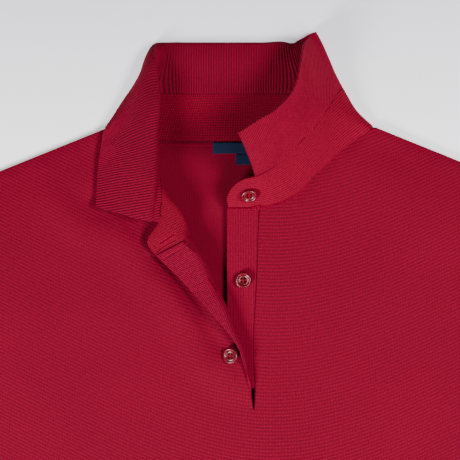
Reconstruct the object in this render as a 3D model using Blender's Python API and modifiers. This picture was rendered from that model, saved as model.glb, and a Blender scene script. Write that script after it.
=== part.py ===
"""A fine-gauge knitted polo sweater, laid flat on its back with the placket open.

The garment lies with its front up: +Y points to the collar, +X to the right of the picture,
+Z up. The origin is on the ground under the back, on the centre line at chest level. Each
piece that a maker would cut is one solid, a knitted wall with its true folds: the collar is
turned down on the left and stands up on the right, and the left front edge is turned out.

Sizes are metres. Places around the neck are given as (across, down) in the units of the
picture that the garment was measured from, with heights in millimetres, and seen() turns
them into metres. Left and right are the picture's.
"""

import math

import bmesh
import bpy
import numpy as np
from mathutils import Vector
from mathutils.geometry import delaunay_2d_cdt

# ---- The cloth
CLOTH = 0.0015  # wall of the knit
BAND_CLOTH = 0.0018  # wall of the doubled button band
FACING_CLOTH = 0.0012
LABEL_CLOTH = 0.0005
GAP = 0.0003  # between pieces that touch
SEAM_GAP = 0.0004  # between edges that are sewn together
BACK_LEVEL = CLOTH / 2  # height of the back's middle surface
FRONT_LEVEL = BACK_LEVEL + CLOTH + GAP
AIR = 0.0022  # the front's rise over the back, away from the closed edges
AIR_REACH = 0.035  # how far from an edge the front reaches that rise

# ---- The cut: a size M, half the garment, from the centre line
CHEST = 0.235
WAIST = 0.224
WAIST_Y = -0.19
HIP = 0.228
NECK_HALF = 0.0936
NECK_POINT_Y = 0.236
SHOULDER_HALF = 0.195
SHOULDER_SLOPE = math.radians(22)
BODY_LENGTH = 0.62  # shoulder neck point to hem, with the rib
RIB_HEIGHT = 0.055
RIB_HALF = 0.219
BACK_NECK_Y = 0.225
BACK_NECK_DROP = NECK_POINT_Y - BACK_NECK_Y
SLEEVE_TOP_LENGTH = 0.56  # shoulder tip to cuff seam
SLEEVE_SWING = math.radians(30)  # away from the body's length
SLEEVE_END = 0.1
SLEEVE_LEVEL = 0.0036
CUFF_LENGTH = 0.06
CUFF_WIDTH = 0.086
BUTTON_WIDTH = 0.0114
BUTTON_THICKNESS = 0.0026

SHOULDER_Y = NECK_POINT_Y - (SHOULDER_HALF - NECK_HALF) * math.tan(SHOULDER_SLOPE)
HEM_Y = NECK_POINT_Y - BODY_LENGTH
RIB_TOP_Y = HEM_Y + RIB_HEIGHT

# ---- The picture that the neck was measured from
UNIT = 0.00072  # metres for one picture unit on the ground
CENTRE_UNIT = 242.0  # the centre line
BACK_NECK_UNIT = 141.5  # the back neck seam
AXIS_UNIT = 230.0  # the middle of the picture, both ways
VIEW_HEIGHT = 1.6  # of the eye above the ground


def seen(across, down, height):
    """The place in metres of a point seen at (across, down), height in millimetres up."""
    lift = height / 1000.0
    nearer = 1.0 - lift / VIEW_HEIGHT
    across = AXIS_UNIT + (across - AXIS_UNIT) * nearer
    down = AXIS_UNIT + (down - AXIS_UNIT) * nearer
    x = (across - CENTRE_UNIT) * UNIT
    y = BACK_NECK_Y + (BACK_NECK_UNIT - down) * UNIT
    return Vector((x, y, lift))


# ---- Heights of the front


def smooth(value):
    """An S-shaped ramp from 0 to 1."""
    value = min(1.0, max(0.0, value))
    return value * value * (3.0 - 2.0 * value)


def distance_to_line(point, start, end):
    """The distance in plan from a point to a straight stretch."""
    line = end - start
    along = max(0.0, min(1.0, (point - start).dot(line) / line.length_squared))
    return (point - start - line * along).length


SHOULDER_TIP = Vector((SHOULDER_HALF, SHOULDER_Y))
UNDERARM = Vector((CHEST, 0.0))
SLEEVE_WAY = Vector((math.sin(SLEEVE_SWING), -math.cos(SLEEVE_SWING)))
SLEEVE_INWARD = Vector((-math.cos(SLEEVE_SWING), -math.sin(SLEEVE_SWING)))
SLEEVE_TOP_END = SHOULDER_TIP + SLEEVE_WAY * SLEEVE_TOP_LENGTH
SLEEVE_UNDER_END = SLEEVE_TOP_END + SLEEVE_INWARD * SLEEVE_END
CLOSED_EDGES = [
    (Vector((NECK_HALF, NECK_POINT_Y)), SHOULDER_TIP),
    (SHOULDER_TIP, SLEEVE_TOP_END),
    (UNDERARM, SLEEVE_UNDER_END),
    (UNDERARM, Vector((WAIST, WAIST_Y))),
    (Vector((WAIST, WAIST_Y)), Vector((HIP, RIB_TOP_Y))),
    (Vector((HIP, RIB_TOP_Y)), Vector((RIB_HALF, HEM_Y))),
]
NECK_LIFT = 0.0014  # the front stands a little off the back where the collar turns
NECK_LIFT_REACH = 0.016


def air(x, y):
    """The front's height over the back: none at a closed edge, AIR inside."""
    point = Vector((abs(x), y))
    nearest = min(distance_to_line(point, a, b) for a, b in CLOSED_EDGES)
    turn = (point - Vector((NECK_HALF, NECK_POINT_Y))).length / NECK_LIFT_REACH
    lift = NECK_LIFT * math.exp(-turn * turn)
    return max(AIR * smooth(nearest / AIR_REACH), lift)


# The slit's right side, where the button band is sewn to the front.
# columns: across, down
BAND_SEAM = [
    (259.3, 207.6),
    (258.3, 225.0),
    (257.1, 270.0),
    (254.4, 318.0),
    (253.2, 345.0),
    (253.4, 365.0),
    (254.9, 385.0),
    (255.0, 398.0),
    (254.4, 409.0),
]
BAND_WIDTH = 32.0
BAND_FOOT = 388.0
BAND_EDGE = 226.9  # its left edge
OVERLAP_LIFT = 0.0024  # the left front lies on the button band
OVERLAP_RAMP = 20.0
OVERLAP_FOOT_RAMP = 22.0


def table_at(table, key, key_column, value_column):
    """Reads a table between its rows."""
    keys = [row[key_column] for row in table]
    values = [row[value_column] for row in table]
    return float(np.interp(key, keys, values))


def overlap_lift(x, y):
    """How much the left front rises to lie on the button band."""
    across = CENTRE_UNIT + x / UNIT
    down = BACK_NECK_UNIT + (BACK_NECK_Y - y) / UNIT
    seam = table_at(BAND_SEAM, down, 1, 0)
    if across > seam - 0.5 or down > BAND_SEAM[-1][1]:
        return 0.0
    sideways = smooth((across - (seam - BAND_WIDTH - OVERLAP_RAMP)) / OVERLAP_RAMP)
    foot = smooth((BAND_SEAM[-1][1] - down) / OVERLAP_FOOT_RAMP)
    return OVERLAP_LIFT * sideways * foot


def front_height(x, y):
    """The height of the front's middle surface."""
    return FRONT_LEVEL + air(x, y) + overlap_lift(x, y)


def on_front(across, down, above=0.0):
    """A point on the front's middle surface, or above it."""
    flat = seen(across, down, FRONT_LEVEL * 1000)
    flat.z = front_height(flat.x, flat.y) + above
    return flat


# ---- Smooth curves through a few points


def smooth_curve(points, steps):
    """Points along a smooth curve through the given ones, so many steps to each span."""
    points = [np.array(point, dtype=float) for point in points]
    spans = [max(1e-6, np.linalg.norm(b - a)) for a, b in zip(points, points[1:])]
    slopes = [(b - a) / span for a, b, span in zip(points, points[1:], spans)]
    tangents = [slopes[0]]
    for before, after, width_a, width_b in zip(slopes, slopes[1:], spans, spans[1:]):
        tangents.append((before * width_b + after * width_a) / (width_a + width_b))
    tangents.append(slopes[-1])
    curve = [points[0]]
    for index, span in enumerate(spans):
        for step in range(1, steps[index] + 1):
            t = step / steps[index]
            curve.append(
                points[index] * (2 * t**3 - 3 * t**2 + 1)
                + tangents[index] * span * (t**3 - 2 * t**2 + t)
                + points[index + 1] * (3 * t**2 - 2 * t**3)
                + tangents[index + 1] * span * (t**3 - t**2)
            )
    return [Vector(point) for point in curve]


def columns_of(rows):
    """Turns rows of points into columns of points."""
    return [list(column) for column in zip(*rows)]


# ---- The turned-out edge of the left front
# One row for each section along the roll, from the slit's foot to the neck seam.
# columns: across, down (outermost point of the roll), slant in degrees of the section,
# radius in mm, turn in degrees, and the flat stretch beyond the turn in picture units
TURNED_EDGE = [
    (252.4, 408.0, 5, 1.3, 4, 3.8),
    (252.2, 392.0, 8, 1.3, 60, 0.8),
    (249.7, 376.0, 14, 1.5, 130, 0.4),
    (247.3, 363.0, 18, 1.6, 172, 0.3),
    (240.8, 343.0, 21, 1.8, 178, 0.8),
    (235.5, 331.5, 21, 2.0, 182, 2.4),
    (225.2, 305.8, 22, 2.5, 188, 10.0),
    (214.3, 284.0, 23, 3.0, 189, 16.0),
    (202.2, 253.6, 27, 3.6, 190, 27.5),
    (191.0, 236.0, 28, 3.9, 190, 32.5),
]
EDGE_WALL = 1.6  # picture units from the roll's outermost point to its middle surface
BARE_STEPS = 6
FACED_STEPS = 7
FACING_WIDTH = 0.023
FACING_LOWEST = math.radians(45)  # where the facing starts on a narrow roll
FACING_EASE = 0.006
ROLL_SPANS = 3


def turned_rows():
    """The table's rows, made closer by a smooth curve."""
    return smooth_rows(TURNED_EDGE, ROLL_SPANS)


def smooth_rows(table, steps):
    """Reads a table smoothly, so many steps to each row."""
    places = np.arange(0, len(table) - 1 + 1e-9, 1.0 / steps)
    columns = [[row[i] for row in table] for i in range(len(table[0]))]
    return [tuple(np.interp(p, range(len(table)), c) for c in columns) for p in places]


def turned_point(row, along, lift=0.0):
    """A point on the turned edge: along it in metres from the roll's start, moved out by lift."""
    across, down, slant, radius, turn, flat = row
    radius /= 1000.0
    turn = math.radians(turn)
    outward = Vector((math.cos(math.radians(slant)), math.sin(math.radians(slant)), 0))
    rim = seen(across, down, radius * 1000)
    axis = rim - outward * (radius + EDGE_WALL * UNIT)
    axis.z = front_height(axis.x, axis.y) + radius
    angle = min(along / radius, turn)
    beyond = along - angle * radius
    arm = outward * math.sin(angle) - Vector((0, 0, math.cos(angle)))
    way = outward * math.cos(angle) + Vector((0, 0, math.sin(angle)))
    return axis + arm * (radius + lift) + way * beyond


def turned_length(row):
    """The length of cloth in a section of the turned edge."""
    return row[3] / 1000.0 * math.radians(row[4]) + row[5] * UNIT


def section_lengths(row):
    """Lengths along the cloth at which a section of the turned edge has its points."""
    total = turned_length(row)
    lowest = row[3] / 1000.0 * FACING_LOWEST
    full = total - FACING_WIDTH
    start = (lowest + full + math.hypot(lowest - full, FACING_EASE)) / 2
    bare = [start * i / BARE_STEPS for i in range(BARE_STEPS)]
    return bare + [start + (total - start) * i / FACED_STEPS for i in range(FACED_STEPS + 1)]


def turned_section(row):
    """A section of the turned edge, from the roll's start to the cloth's edge."""
    return [turned_point(row, length) for length in section_lengths(row)]


# ---- The collar: one section for each row, from its left end round the back to the right
# Each point is (across, down, height in mm). A seam point is (across, down) on the front.
# columns: neck seam, middle of the stand, joint of stand and leaf, and four of the leaf
TOP_SECTION = TURNED_EDGE[-1]
TOP_LENGTH = turned_length(TOP_SECTION)
LEFT_FRONT = [
    (1.0, (147.5, 243.0, 11.0), (160.0, 222.0, 14.0),
     (152.0, 221.0, 15.0), (140.0, 219.0, 14.6), (119.0, 213.5, 11.8), (96.0, 207.0, 9.0)),
    (0.62, (166.0, 233.0, 13.2), (160.5, 212.0, 15.2),
     (153.0, 211.0, 16.4), (142.0, 209.0, 16.2), (120.0, 203.0, 12.4), (96.5, 197.0, 8.5)),
    (0.3, (177.0, 223.5, 14.2), (161.0, 203.0, 16.2),
     (154.5, 202.0, 17.6), (143.0, 200.0, 17.4), (120.5, 193.5, 13.0), (97.0, 187.5, 8.2)),
    (0.15, (182.0, 214.5, 13.8), (161.5, 195.0, 16.6),
     (155.0, 194.0, 18.4), (144.0, 192.0, 18.4), (121.0, 185.5, 13.4), (97.4, 180.0, 8.0)),
    (0.0, (179.0, 210.0, 12.2), (161.0, 188.5, 16.4),
     (155.5, 187.0, 19.0), (145.0, 185.5, 19.2), (121.5, 178.5, 13.8), (97.8, 173.0, 7.8)),
]
LEFT_SIDE = [
    ((166.0, 225.5), (171.0, 203.0, 10.6), (159.5, 180.5, 15.0),
     (157.0, 178.5, 18.6), (145.0, 177.0, 19.8), (121.8, 170.5, 14.0), (98.4, 166.0, 7.6)),
    ((147.0, 207.0), (156.0, 187.0, 8.6), (155.8, 168.5, 12.9),
     (157.6, 166.5, 17.2), (145.0, 165.0, 20.0), (122.0, 159.5, 14.0), (99.4, 158.0, 7.5)),
    ((129.5, 184.0), (143.0, 167.0, 8.2), (154.0, 153.0, 12.4),
     (157.7, 150.5, 16.6), (145.5, 149.0, 20.0), (122.5, 146.5, 14.0), (100.9, 149.5, 7.4)),
    ((118.5, 160.0), (137.0, 147.5, 8.0), (153.0, 137.0, 12.2),
     (157.7, 134.0, 16.4), (146.0, 133.0, 19.8), (124.0, 133.0, 13.6), (102.3, 141.0, 7.0)),
    ((113.6, 143.0), (133.0, 128.0, 8.0), (150.5, 114.0, 12.4),
     (158.3, 108.0, 15.6), (150.5, 104.0, 19.0), (128.0, 111.0, 12.4), (104.0, 132.0, 6.6)),
    ((112.4, 134.0), (128.0, 114.5, 6.6), (143.0, 99.0, 9.4),
     (157.4, 86.0, 13.0), (149.5, 81.0, 15.6), (130.5, 95.5, 9.4), (113.0, 117.5, 4.4)),
]
LEFT_TURN = [
    ((111.7, 129.0, 4.0), (127.5, 110.0, 5.4), (140.5, 92.0, 7.4),
     (156.5, 66.0, 10.4), (149.5, 62.0, 12.4), (139.0, 79.0, 5.2), (126.5, 97.0, 1.3)),
    ((111.7, 126.8, 2.4), (127.0, 108.0, 3.6), (141.5, 86.5, 5.0),
     (155.2, 52.5, 7.6), (150.0, 51.0, 7.0), (145.5, 62.0, 2.0), (139.5, 81.0, 0.85)),
    ((115.0, 129.8, 0.9), (130.5, 110.5, 2.3), (146.0, 88.5, 3.4),
     (158.0, 48.5, 4.6), (154.0, 45.0, 3.2), (153.5, 50.0, 0.9), (157.0, 68.0, 0.8)),
]
BACK_SEAMS = (134.0, 165.0, 205.0, 242.0, 280.0, 318.0)
BACK_MIDDLE = (0.93, 117.0, 1.0)
BACK_JOINT = (0.82, 94.0, 1.8)
BACK_FOLD = [(0.645, 47.0, 3.7), (0.64, 43.4, 2.3), (0.645, 47.0, 0.85), (0.65, 57.0, 0.8)]
BACK_FOLD_CENTRE = 238.5
RIGHT_TURN = [
    ((334.0, 139.6, 0.75), (328.5, 115.6, 1.1), (313.5, 93.2, 1.95),
     (299.5, 57.0, 3.8), (297.0, 48.0, 3.4), (296.0, 43.5, 2.1), (296.0, 42.9, 0.8)),
    ((350.0, 136.0, 0.8), (336.0, 112.0, 1.4), (322.0, 92.0, 2.2),
     (309.0, 65.0, 2.8), (305.5, 51.0, 3.0), (304.0, 43.0, 2.9), (304.5, 37.5, 2.2)),
    ((366.5, 129.5, 0.9), (351.5, 109.5, 1.8), (337.0, 89.0, 2.8),
     (325.0, 68.0, 3.4), (318.5, 54.0, 3.6), (313.0, 42.5, 3.8), (310.0, 33.8, 3.6)),
    ((372.0, 126.6, 2.4), (357.5, 113.0, 3.6), (342.0, 88.0, 5.4),
     (332.0, 68.0, 7.0), (325.0, 51.5, 7.8), (319.3, 39.5, 8.0), (315.3, 32.4, 7.6)),
    ((370.0, 129.0, 4.0), (354.5, 112.5, 5.8), (339.0, 91.0, 9.6),
     (328.0, 72.0, 12.6), (320.0, 56.5, 14.0), (314.0, 44.5, 14.2), (310.0, 36.8, 13.4)),
]
RIGHT_FRONT = [
    ((361.0, 135.5), (347.5, 118.0, 9.0), (334.0, 98.0, 13.8),
     (323.0, 80.0, 18.5), (315.0, 65.5, 21.5), (309.0, 54.0, 23.0), (304.0, 44.0, 23.0)),
    ((346.5, 146.0), (336.5, 128.5, 10.5), (326.0, 110.5, 17.5),
     (317.0, 95.0, 24.0), (310.5, 81.5, 29.0), (305.0, 70.5, 32.0), (300.5, 61.0, 33.5)),
    ((330.0, 160.5), (323.5, 143.0, 11.8), (315.0, 126.0, 20.0),
     (308.5, 112.0, 27.0), (303.5, 100.0, 33.0), (299.5, 89.5, 37.0), (296.5, 81.0, 39.5)),
    ((313.0, 177.5), (307.5, 158.5, 12.8), (301.0, 140.5, 21.6),
     (297.0, 128.0, 29.5), (294.0, 116.0, 36.0), (291.0, 105.0, 40.6), (288.5, 96.0, 44.0)),
    ((295.0, 194.0), (290.5, 174.5, 13.4), (285.5, 155.5, 23.0),
     (283.0, 144.0, 31.0), (280.5, 132.0, 38.5), (277.5, 120.0, 44.5), (274.5, 110.0, 48.5)),
    ((276.0, 202.8), (273.0, 185.0, 14.8), (270.0, 168.5, 25.5),
     (267.5, 157.0, 34.0), (264.0, 144.0, 42.5), (260.0, 131.5, 49.5), (256.5, 120.8, 54.0)),
    ((259.6, 206.3), (257.2, 190.0, 16.2), (255.0, 176.2, 28.0),
     (252.0, 166.0, 36.0), (247.5, 154.0, 45.5), (243.0, 143.0, 53.5), (238.4, 132.4, 59.5)),
]
RIGHT_END = [
    ((243.0, 206.6), (240.5, 192.5, 15.0), (243.5, 179.0, 25.0)),
    ((228.4, 206.6), (226.9, 198.5, 10.4), (231.2, 188.4, 17.4)),
]
STAND_STEPS = [3, 3]
LEAF_STEPS = [3, 1, 1, 1, 1, 3]
ROUND_STEPS = 2
CORNER_GAP = 0.0012  # more room between leaf and stand at their left ends
CORNER_ROWS = 4
SAME_WAY = 0.3  # stand and leaf fold back on each other where their directions agree this much


def back_section(seam):
    """A section of the collar at the back: sides drawn in towards the top."""
    off_centre = (seam - CENTRE_UNIT) / (NECK_HALF / UNIT)
    rise = BACK_NECK_DROP / UNIT * off_centre**6
    points = [seen(seam, BACK_NECK_UNIT - rise, BACK_LEVEL * 1000)]
    for share, down, height in (BACK_MIDDLE, BACK_JOINT):
        across = CENTRE_UNIT + (seam - CENTRE_UNIT) * share
        points.append(seen(across, down - rise / 2, height))
    for share, down, height in BACK_FOLD:
        across = BACK_FOLD_CENTRE + (seam - CENTRE_UNIT) * share
        points.append(seen(across, down, height))
    return points


def collar_sections():
    """Every section's points in metres, left end to right end."""
    sections = []
    for share, *points in LEFT_FRONT:
        start = turned_point(TOP_SECTION, TOP_LENGTH * share)
        sections.append([start] + [seen(*point) for point in points])
    for seam, *points in LEFT_SIDE:
        sections.append([on_front(*seam)] + [seen(*point) for point in points])
    sections += [[seen(*point) for point in row] for row in LEFT_TURN]
    sections += [back_section(seam) for seam in BACK_SEAMS]
    sections += [[seen(*point) for point in row] for row in RIGHT_TURN]
    for seam, *points in RIGHT_FRONT:
        sections.append([on_front(*seam)] + [seen(*point) for point in points])
    return sections


def end_sections():
    """The stand's right end, which reaches past the leaf."""
    return [
        [on_front(*seam)] + [seen(*point) for point in points]
        for seam, *points in RIGHT_END
    ]


def with_round_fold(section):
    """Makes the leaf's fold half an ellipse: through the turn in, the ridge and the turn out."""
    *before, turn_in, ridge, turn_out, edge = section
    middle = (turn_in + turn_out) / 2
    points = []
    for degrees in (45, 135):
        angle = math.radians(degrees)
        side = (turn_in - middle) * math.cos(angle)
        points.append(middle + side + (ridge - middle) * math.sin(angle))
    return before + [turn_in, points[0], ridge, points[1], turn_out, edge]


def collar_grid(sections, steps, first):
    """A grid of points through the sections, from one of their columns to the last."""
    rows = [smooth_curve(section, steps)[sum(steps[:first]) :] for section in sections]
    spans = [ROUND_STEPS] * (len(rows) - 1)
    columns = [smooth_curve(column, spans) for column in columns_of(rows)]
    return columns_of(columns)


def pull_back(grid, distance):
    """Shortens each row of a grid at its first point."""
    for row in grid:
        step = row[1] - row[0]
        row[0] = row[0] + step.normalized() * min(distance, step.length / 2)


def across_line(way, line):
    """The part of a direction that is square to a line, one long."""
    return (way - line * way.dot(line)).normalized()


def part_joint(stand, leaf):
    """Draws stand and leaf apart along their joint, the more the sharper it is folded."""
    joint = [row[0].copy() for row in leaf]
    last = len(leaf) - 1
    for i, (below, above) in enumerate(zip(stand, leaf)):
        line = (joint[min(i + 1, last)] - joint[max(i - 1, 0)]).normalized()
        away = across_line(above[1] - above[0], line)
        back = across_line(below[-2] - below[-1], line)
        if back.dot(away) > SAME_WAY:
            back = -away
        distance = SEAM_GAP / 2 + CLOTH / 2 * math.tan(away.angle(-back) / 2)
        distance += CORNER_GAP * max(0.0, 1 - i / CORNER_ROWS)
        above[0] = above[0] + away * distance
        below[-1] = below[-1] + back * distance


def settle(grid):
    """Keeps a wall's middle surface half a wall above the ground."""
    for row in grid:
        for point in row:
            point.z = max(point.z, CLOTH / 2)


# ---- Making objects


def clear_scene():
    """Removes what the scene holds."""
    for item in list(bpy.data.objects):
        bpy.data.objects.remove(item, do_unlink=True)


def collection(name):
    """A new collection in the scene."""
    group = bpy.data.collections.new(name)
    bpy.context.scene.collection.children.link(group)
    return group


def linear(value):
    """One sRGB channel, 0 to 1, made linear."""
    return value / 12.92 if value <= 0.04045 else ((value + 0.055) / 1.055) ** 2.4


def material(name, hex_colour, roughness):
    """A plain finish from an sRGB colour."""
    finish = bpy.data.materials.new(name)
    finish.use_nodes = True
    shader = finish.node_tree.nodes["Principled BSDF"]
    channels = [int(hex_colour[i : i + 2], 16) / 255 for i in (0, 2, 4)]
    shader.inputs["Base Color"].default_value = [linear(c) for c in channels] + [1.0]
    shader.inputs["Roughness"].default_value = roughness
    shader.inputs["Metallic"].default_value = 0.0
    return finish


def make_object(name, builder, finish, group):
    """Turns a bmesh into a smooth-shaded object."""
    mesh = bpy.data.meshes.new(name)
    builder.to_mesh(mesh)
    builder.free()
    mesh.materials.append(finish)
    mesh.shade_smooth()
    result = bpy.data.objects.new(name, mesh)
    group.objects.link(result)
    return result


def thicken(item, thickness):
    """Gives an open surface its wall, half to each side."""
    wall = item.modifiers.new("Wall", "SOLIDIFY")
    wall.thickness = thickness
    wall.offset = 0.0
    wall.use_even_offset = False
    wall.use_quality_normals = True


def add_grid(builder, rows, closed=False):
    """Adds a surface of triangles through rows of points to a bmesh, cut at short diagonals."""
    lines = [[builder.verts.new(point) for point in row] for row in rows]
    for line, following in zip(lines, lines[1:]):
        count = len(line) if closed else len(line) - 1
        for i in range(count):
            j = (i + 1) % len(line)
            falling = (line[i].co - following[j].co).length
            rising = (line[j].co - following[i].co).length
            if falling < rising:
                builder.faces.new((line[i], line[j], following[j]))
                builder.faces.new((line[i], following[j], following[i]))
            else:
                builder.faces.new((line[i], line[j], following[i]))
                builder.faces.new((line[j], following[j], following[i]))
    return lines


def sheet(name, rows, thickness, finish, group, closed=False):
    """A knitted wall through rows of points."""
    builder = bmesh.new()
    add_grid(builder, rows, closed)
    bmesh.ops.recalc_face_normals(builder, faces=builder.faces)
    item = make_object(name, builder, finish, group)
    thicken(item, thickness)
    return item


# ---- The body


ARMHOLE_PULLS = (Vector((0.176, 0.12)), Vector((0.203, 0.035)))
ARMHOLE_STEPS = 10
SIDE_STEPS = 6
HEM_STEPS = 16
SHOULDER_SHARES = (0.025, 0.25, 0.5, 0.75)


def armhole(share):
    """A point of the right armhole, from shoulder tip (0) to underarm (1)."""
    t = share
    return (
        SHOULDER_TIP * (1 - t) ** 3
        + ARMHOLE_PULLS[0] * 3 * t * (1 - t) ** 2
        + ARMHOLE_PULLS[1] * 3 * t * t * (1 - t)
        + UNDERARM * t**3
    )


def armhole_outward(share):
    """The direction in plan from the armhole to the sleeve."""
    step = 0.01
    way = armhole(min(1.0, share + step)) - armhole(max(0.0, share - step))
    return Vector((-way.y, way.x)).normalized()


def side_outline():
    """The right side in plan: neck point, shoulder, armhole, side seam, hem corner."""
    neck = Vector((NECK_HALF, NECK_POINT_Y))
    points = [neck.lerp(SHOULDER_TIP, share) for share in SHOULDER_SHARES]
    points += [armhole(i / ARMHOLE_STEPS) for i in range(ARMHOLE_STEPS + 1)]
    waist = Vector((WAIST, WAIST_Y))
    hip = Vector((HIP, RIB_TOP_Y + SEAM_GAP))
    for start, end in ((UNDERARM, waist), (waist, hip)):
        points += [start.lerp(end, i / SIDE_STEPS) for i in range(1, SIDE_STEPS + 1)]
    return points


def hem_outline():
    """The hem seam from right to left, without its corners."""
    y = RIB_TOP_Y + SEAM_GAP
    return [Vector((HIP * (1 - 2 * i / HEM_STEPS), y)) for i in range(1, HEM_STEPS)]


def mirrored(points):
    """The same points on the left, in reverse order."""
    return [Vector((-p.x, p.y)) for p in reversed(points)]


def inner_points(outline, areas):
    """Points inside an outline: coarse everywhere, finer in the named areas."""
    inside = []
    for low, high, step, margin in areas:
        for x in np.arange(low[0], high[0], step):
            for y in np.arange(low[1], high[1], step):
                point = Vector((x, y))
                if not encloses(outline, point):
                    continue
                near = min(distance_to_line(point, a, b) for a, b in edges_of(outline))
                taken = any((point - other).length < margin for other in inside)
                if near > margin and not taken:
                    inside.append(point)
    return inside


def edges_of(outline):
    """The outline's straight stretches."""
    return zip(outline, outline[1:] + outline[:1])


def encloses(outline, point):
    """True where an outline goes round a point."""
    inside = False
    for a, b in edges_of(outline):
        if (a.y > point.y) != (b.y > point.y):
            if point.x < a.x + (point.y - a.y) * (b.x - a.x) / (b.y - a.y):
                inside = not inside
    return inside


def panel(builder, outline, areas, height):
    """Fills an outline with triangles and lifts them to their height."""
    points = list(outline) + inner_points(outline, areas)
    ring = list(range(len(outline)))
    places, _, faces, _, _, _ = delaunay_2d_cdt(points, [], [ring], 1, 1e-7)
    verts = [builder.verts.new((p.x, p.y, height(p.x, p.y))) for p in places]
    for face in faces:
        builder.faces.new([verts[i] for i in face])


COARSE = ((-0.24, -0.33), (0.24, 0.24), 0.03, 0.013)
NECK_AREA = ((-0.13, 0.05), (0.125, 0.24), 0.014, 0.0075)
SLIT_AREA = ((-0.045, 0.02), (0.02, 0.19), 0.007, 0.0045)


def outward_in_plan(curve, distance):
    """Moves a curve in plan to its right-hand side."""
    moved = []
    last = len(curve) - 1
    for i, point in enumerate(curve):
        way = (curve[min(i + 1, last)] - curve[max(i - 1, 0)]).to_2d().normalized()
        moved.append(point.to_2d() + Vector((way.y, -way.x)) * distance)
    return moved


def make_back(seam_back, finish, group):
    """The back, flat on the ground, with its shallow neckline."""
    side = side_outline()
    neck = outward_in_plan(seam_back, SEAM_GAP / 2)
    outline = side + hem_outline() + mirrored(side) + neck
    builder = bmesh.new()
    panel(builder, outline, [], lambda x, y: BACK_LEVEL)
    bmesh.ops.recalc_face_normals(builder, faces=builder.faces)
    item = make_object("back", builder, finish, group)
    thicken(item, CLOTH)


def make_front(seam_left, seam_right, finish, group):
    """The front: a panel with a slit, and its left edge turned out beside the slit."""
    rows = turned_rows()
    sections = [turned_section(row) for row in rows]
    for point in sections[0]:
        point.z = front_height(point.x, point.y)
    roll_start = [section[0].to_2d() for section in sections]
    slit = smooth_curve([seen(a, d, 0) for a, d in BAND_SEAM], [1] * (len(BAND_SEAM) - 1))
    slit = [point.to_2d() + Vector((SEAM_GAP / 2, 0)) for point in slit]
    right_neck = outward_in_plan(seam_right, -SEAM_GAP)
    left_neck = outward_in_plan(seam_left, -SEAM_GAP * 1.5)
    side = side_outline()
    outline = slit[::-1] + right_neck[::-1] + side
    outline += hem_outline() + mirrored(side) + left_neck[::-1] + roll_start[::-1]
    outline += [point.to_2d() for point in sections[0][1:]]
    builder = bmesh.new()
    panel(builder, outline, [SLIT_AREA, NECK_AREA, COARSE], front_height)
    add_grid(builder, sections)
    bmesh.ops.remove_doubles(builder, verts=builder.verts, dist=1e-6)
    bmesh.ops.recalc_face_normals(builder, faces=builder.faces)
    item = make_object("front", builder, finish, group)
    thicken(item, CLOTH)


# ---- Sleeves, cuffs and hem rib: flattened tubes

TUBE_TURN_STEPS = 4
SLEEVE_TUCK = 0.0026  # the sleeve's folded edge stands off the side seam
SLEEVE_STATIONS = 8
CUFF_STEPS = 8
CUFF_SHARES = (0.0, 0.15, 0.5, 1.0)
HEM_RIB_STEPS = 20
HEM_RIB_SHARES = (0.0, 0.1, 0.4, 0.7, 1.0)
DRAWN_IN_BY = 0.125  # the share of the hem rib's height where it reaches its own width
SLEEVE_AREA = ((0.17, -0.38), (0.5, 0.2), 0.03, 0.013)


def flat_ring(left, right, steps, level):
    """A flattened ring over a straight line in plan: bottom, turn, top, turn."""
    way = (right - left).normalized()
    top_left = level(left)
    top_right = level(right)
    ring = []
    for i in range(steps + 1):
        place = left.lerp(right, i / steps)
        ring.append(Vector((place.x, place.y, BACK_LEVEL)))
    ring += half_turn(right, way, top_right, True)
    for i in range(steps, -1, -1):
        place = left.lerp(right, i / steps)
        ring.append(Vector((place.x, place.y, level(place))))
    ring += half_turn(left, -way, top_left, False)
    return ring


def half_turn(place, way, top, rising):
    """The points of a tube's folded edge, without its ends."""
    radius = (top - BACK_LEVEL) / 2
    points = []
    for i in range(1, TUBE_TURN_STEPS):
        angle = math.pi * i / TUBE_TURN_STEPS
        if not rising:
            angle = math.pi - angle
        out = place + way * radius * math.sin(angle)
        points.append(Vector((out.x, out.y, BACK_LEVEL + radius * (1 - math.cos(angle)))))
    return points


def tube_level(place):
    """The height of a tube's upper layer."""
    return SLEEVE_LEVEL + air(place.x, place.y)


def sleeve_edges():
    """The right sleeve in plan: its outer folded edge, its inner one and the armhole seam."""
    seam = [
        armhole(i / ARMHOLE_STEPS) + armhole_outward(i / ARMHOLE_STEPS) * SEAM_GAP
        for i in range(ARMHOLE_STEPS + 1)
    ]
    seam[-1] -= SLEEVE_INWARD * SLEEVE_TUCK
    drop = SLEEVE_WAY * SEAM_GAP
    shares = [i / SLEEVE_STATIONS for i in range(SLEEVE_STATIONS + 1)]
    outer = [seam[0].lerp(SLEEVE_TOP_END - drop, share) for share in shares]
    inner = [seam[-1].lerp(SLEEVE_UNDER_END - drop, share) for share in shares]
    return outer, inner, seam


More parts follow.
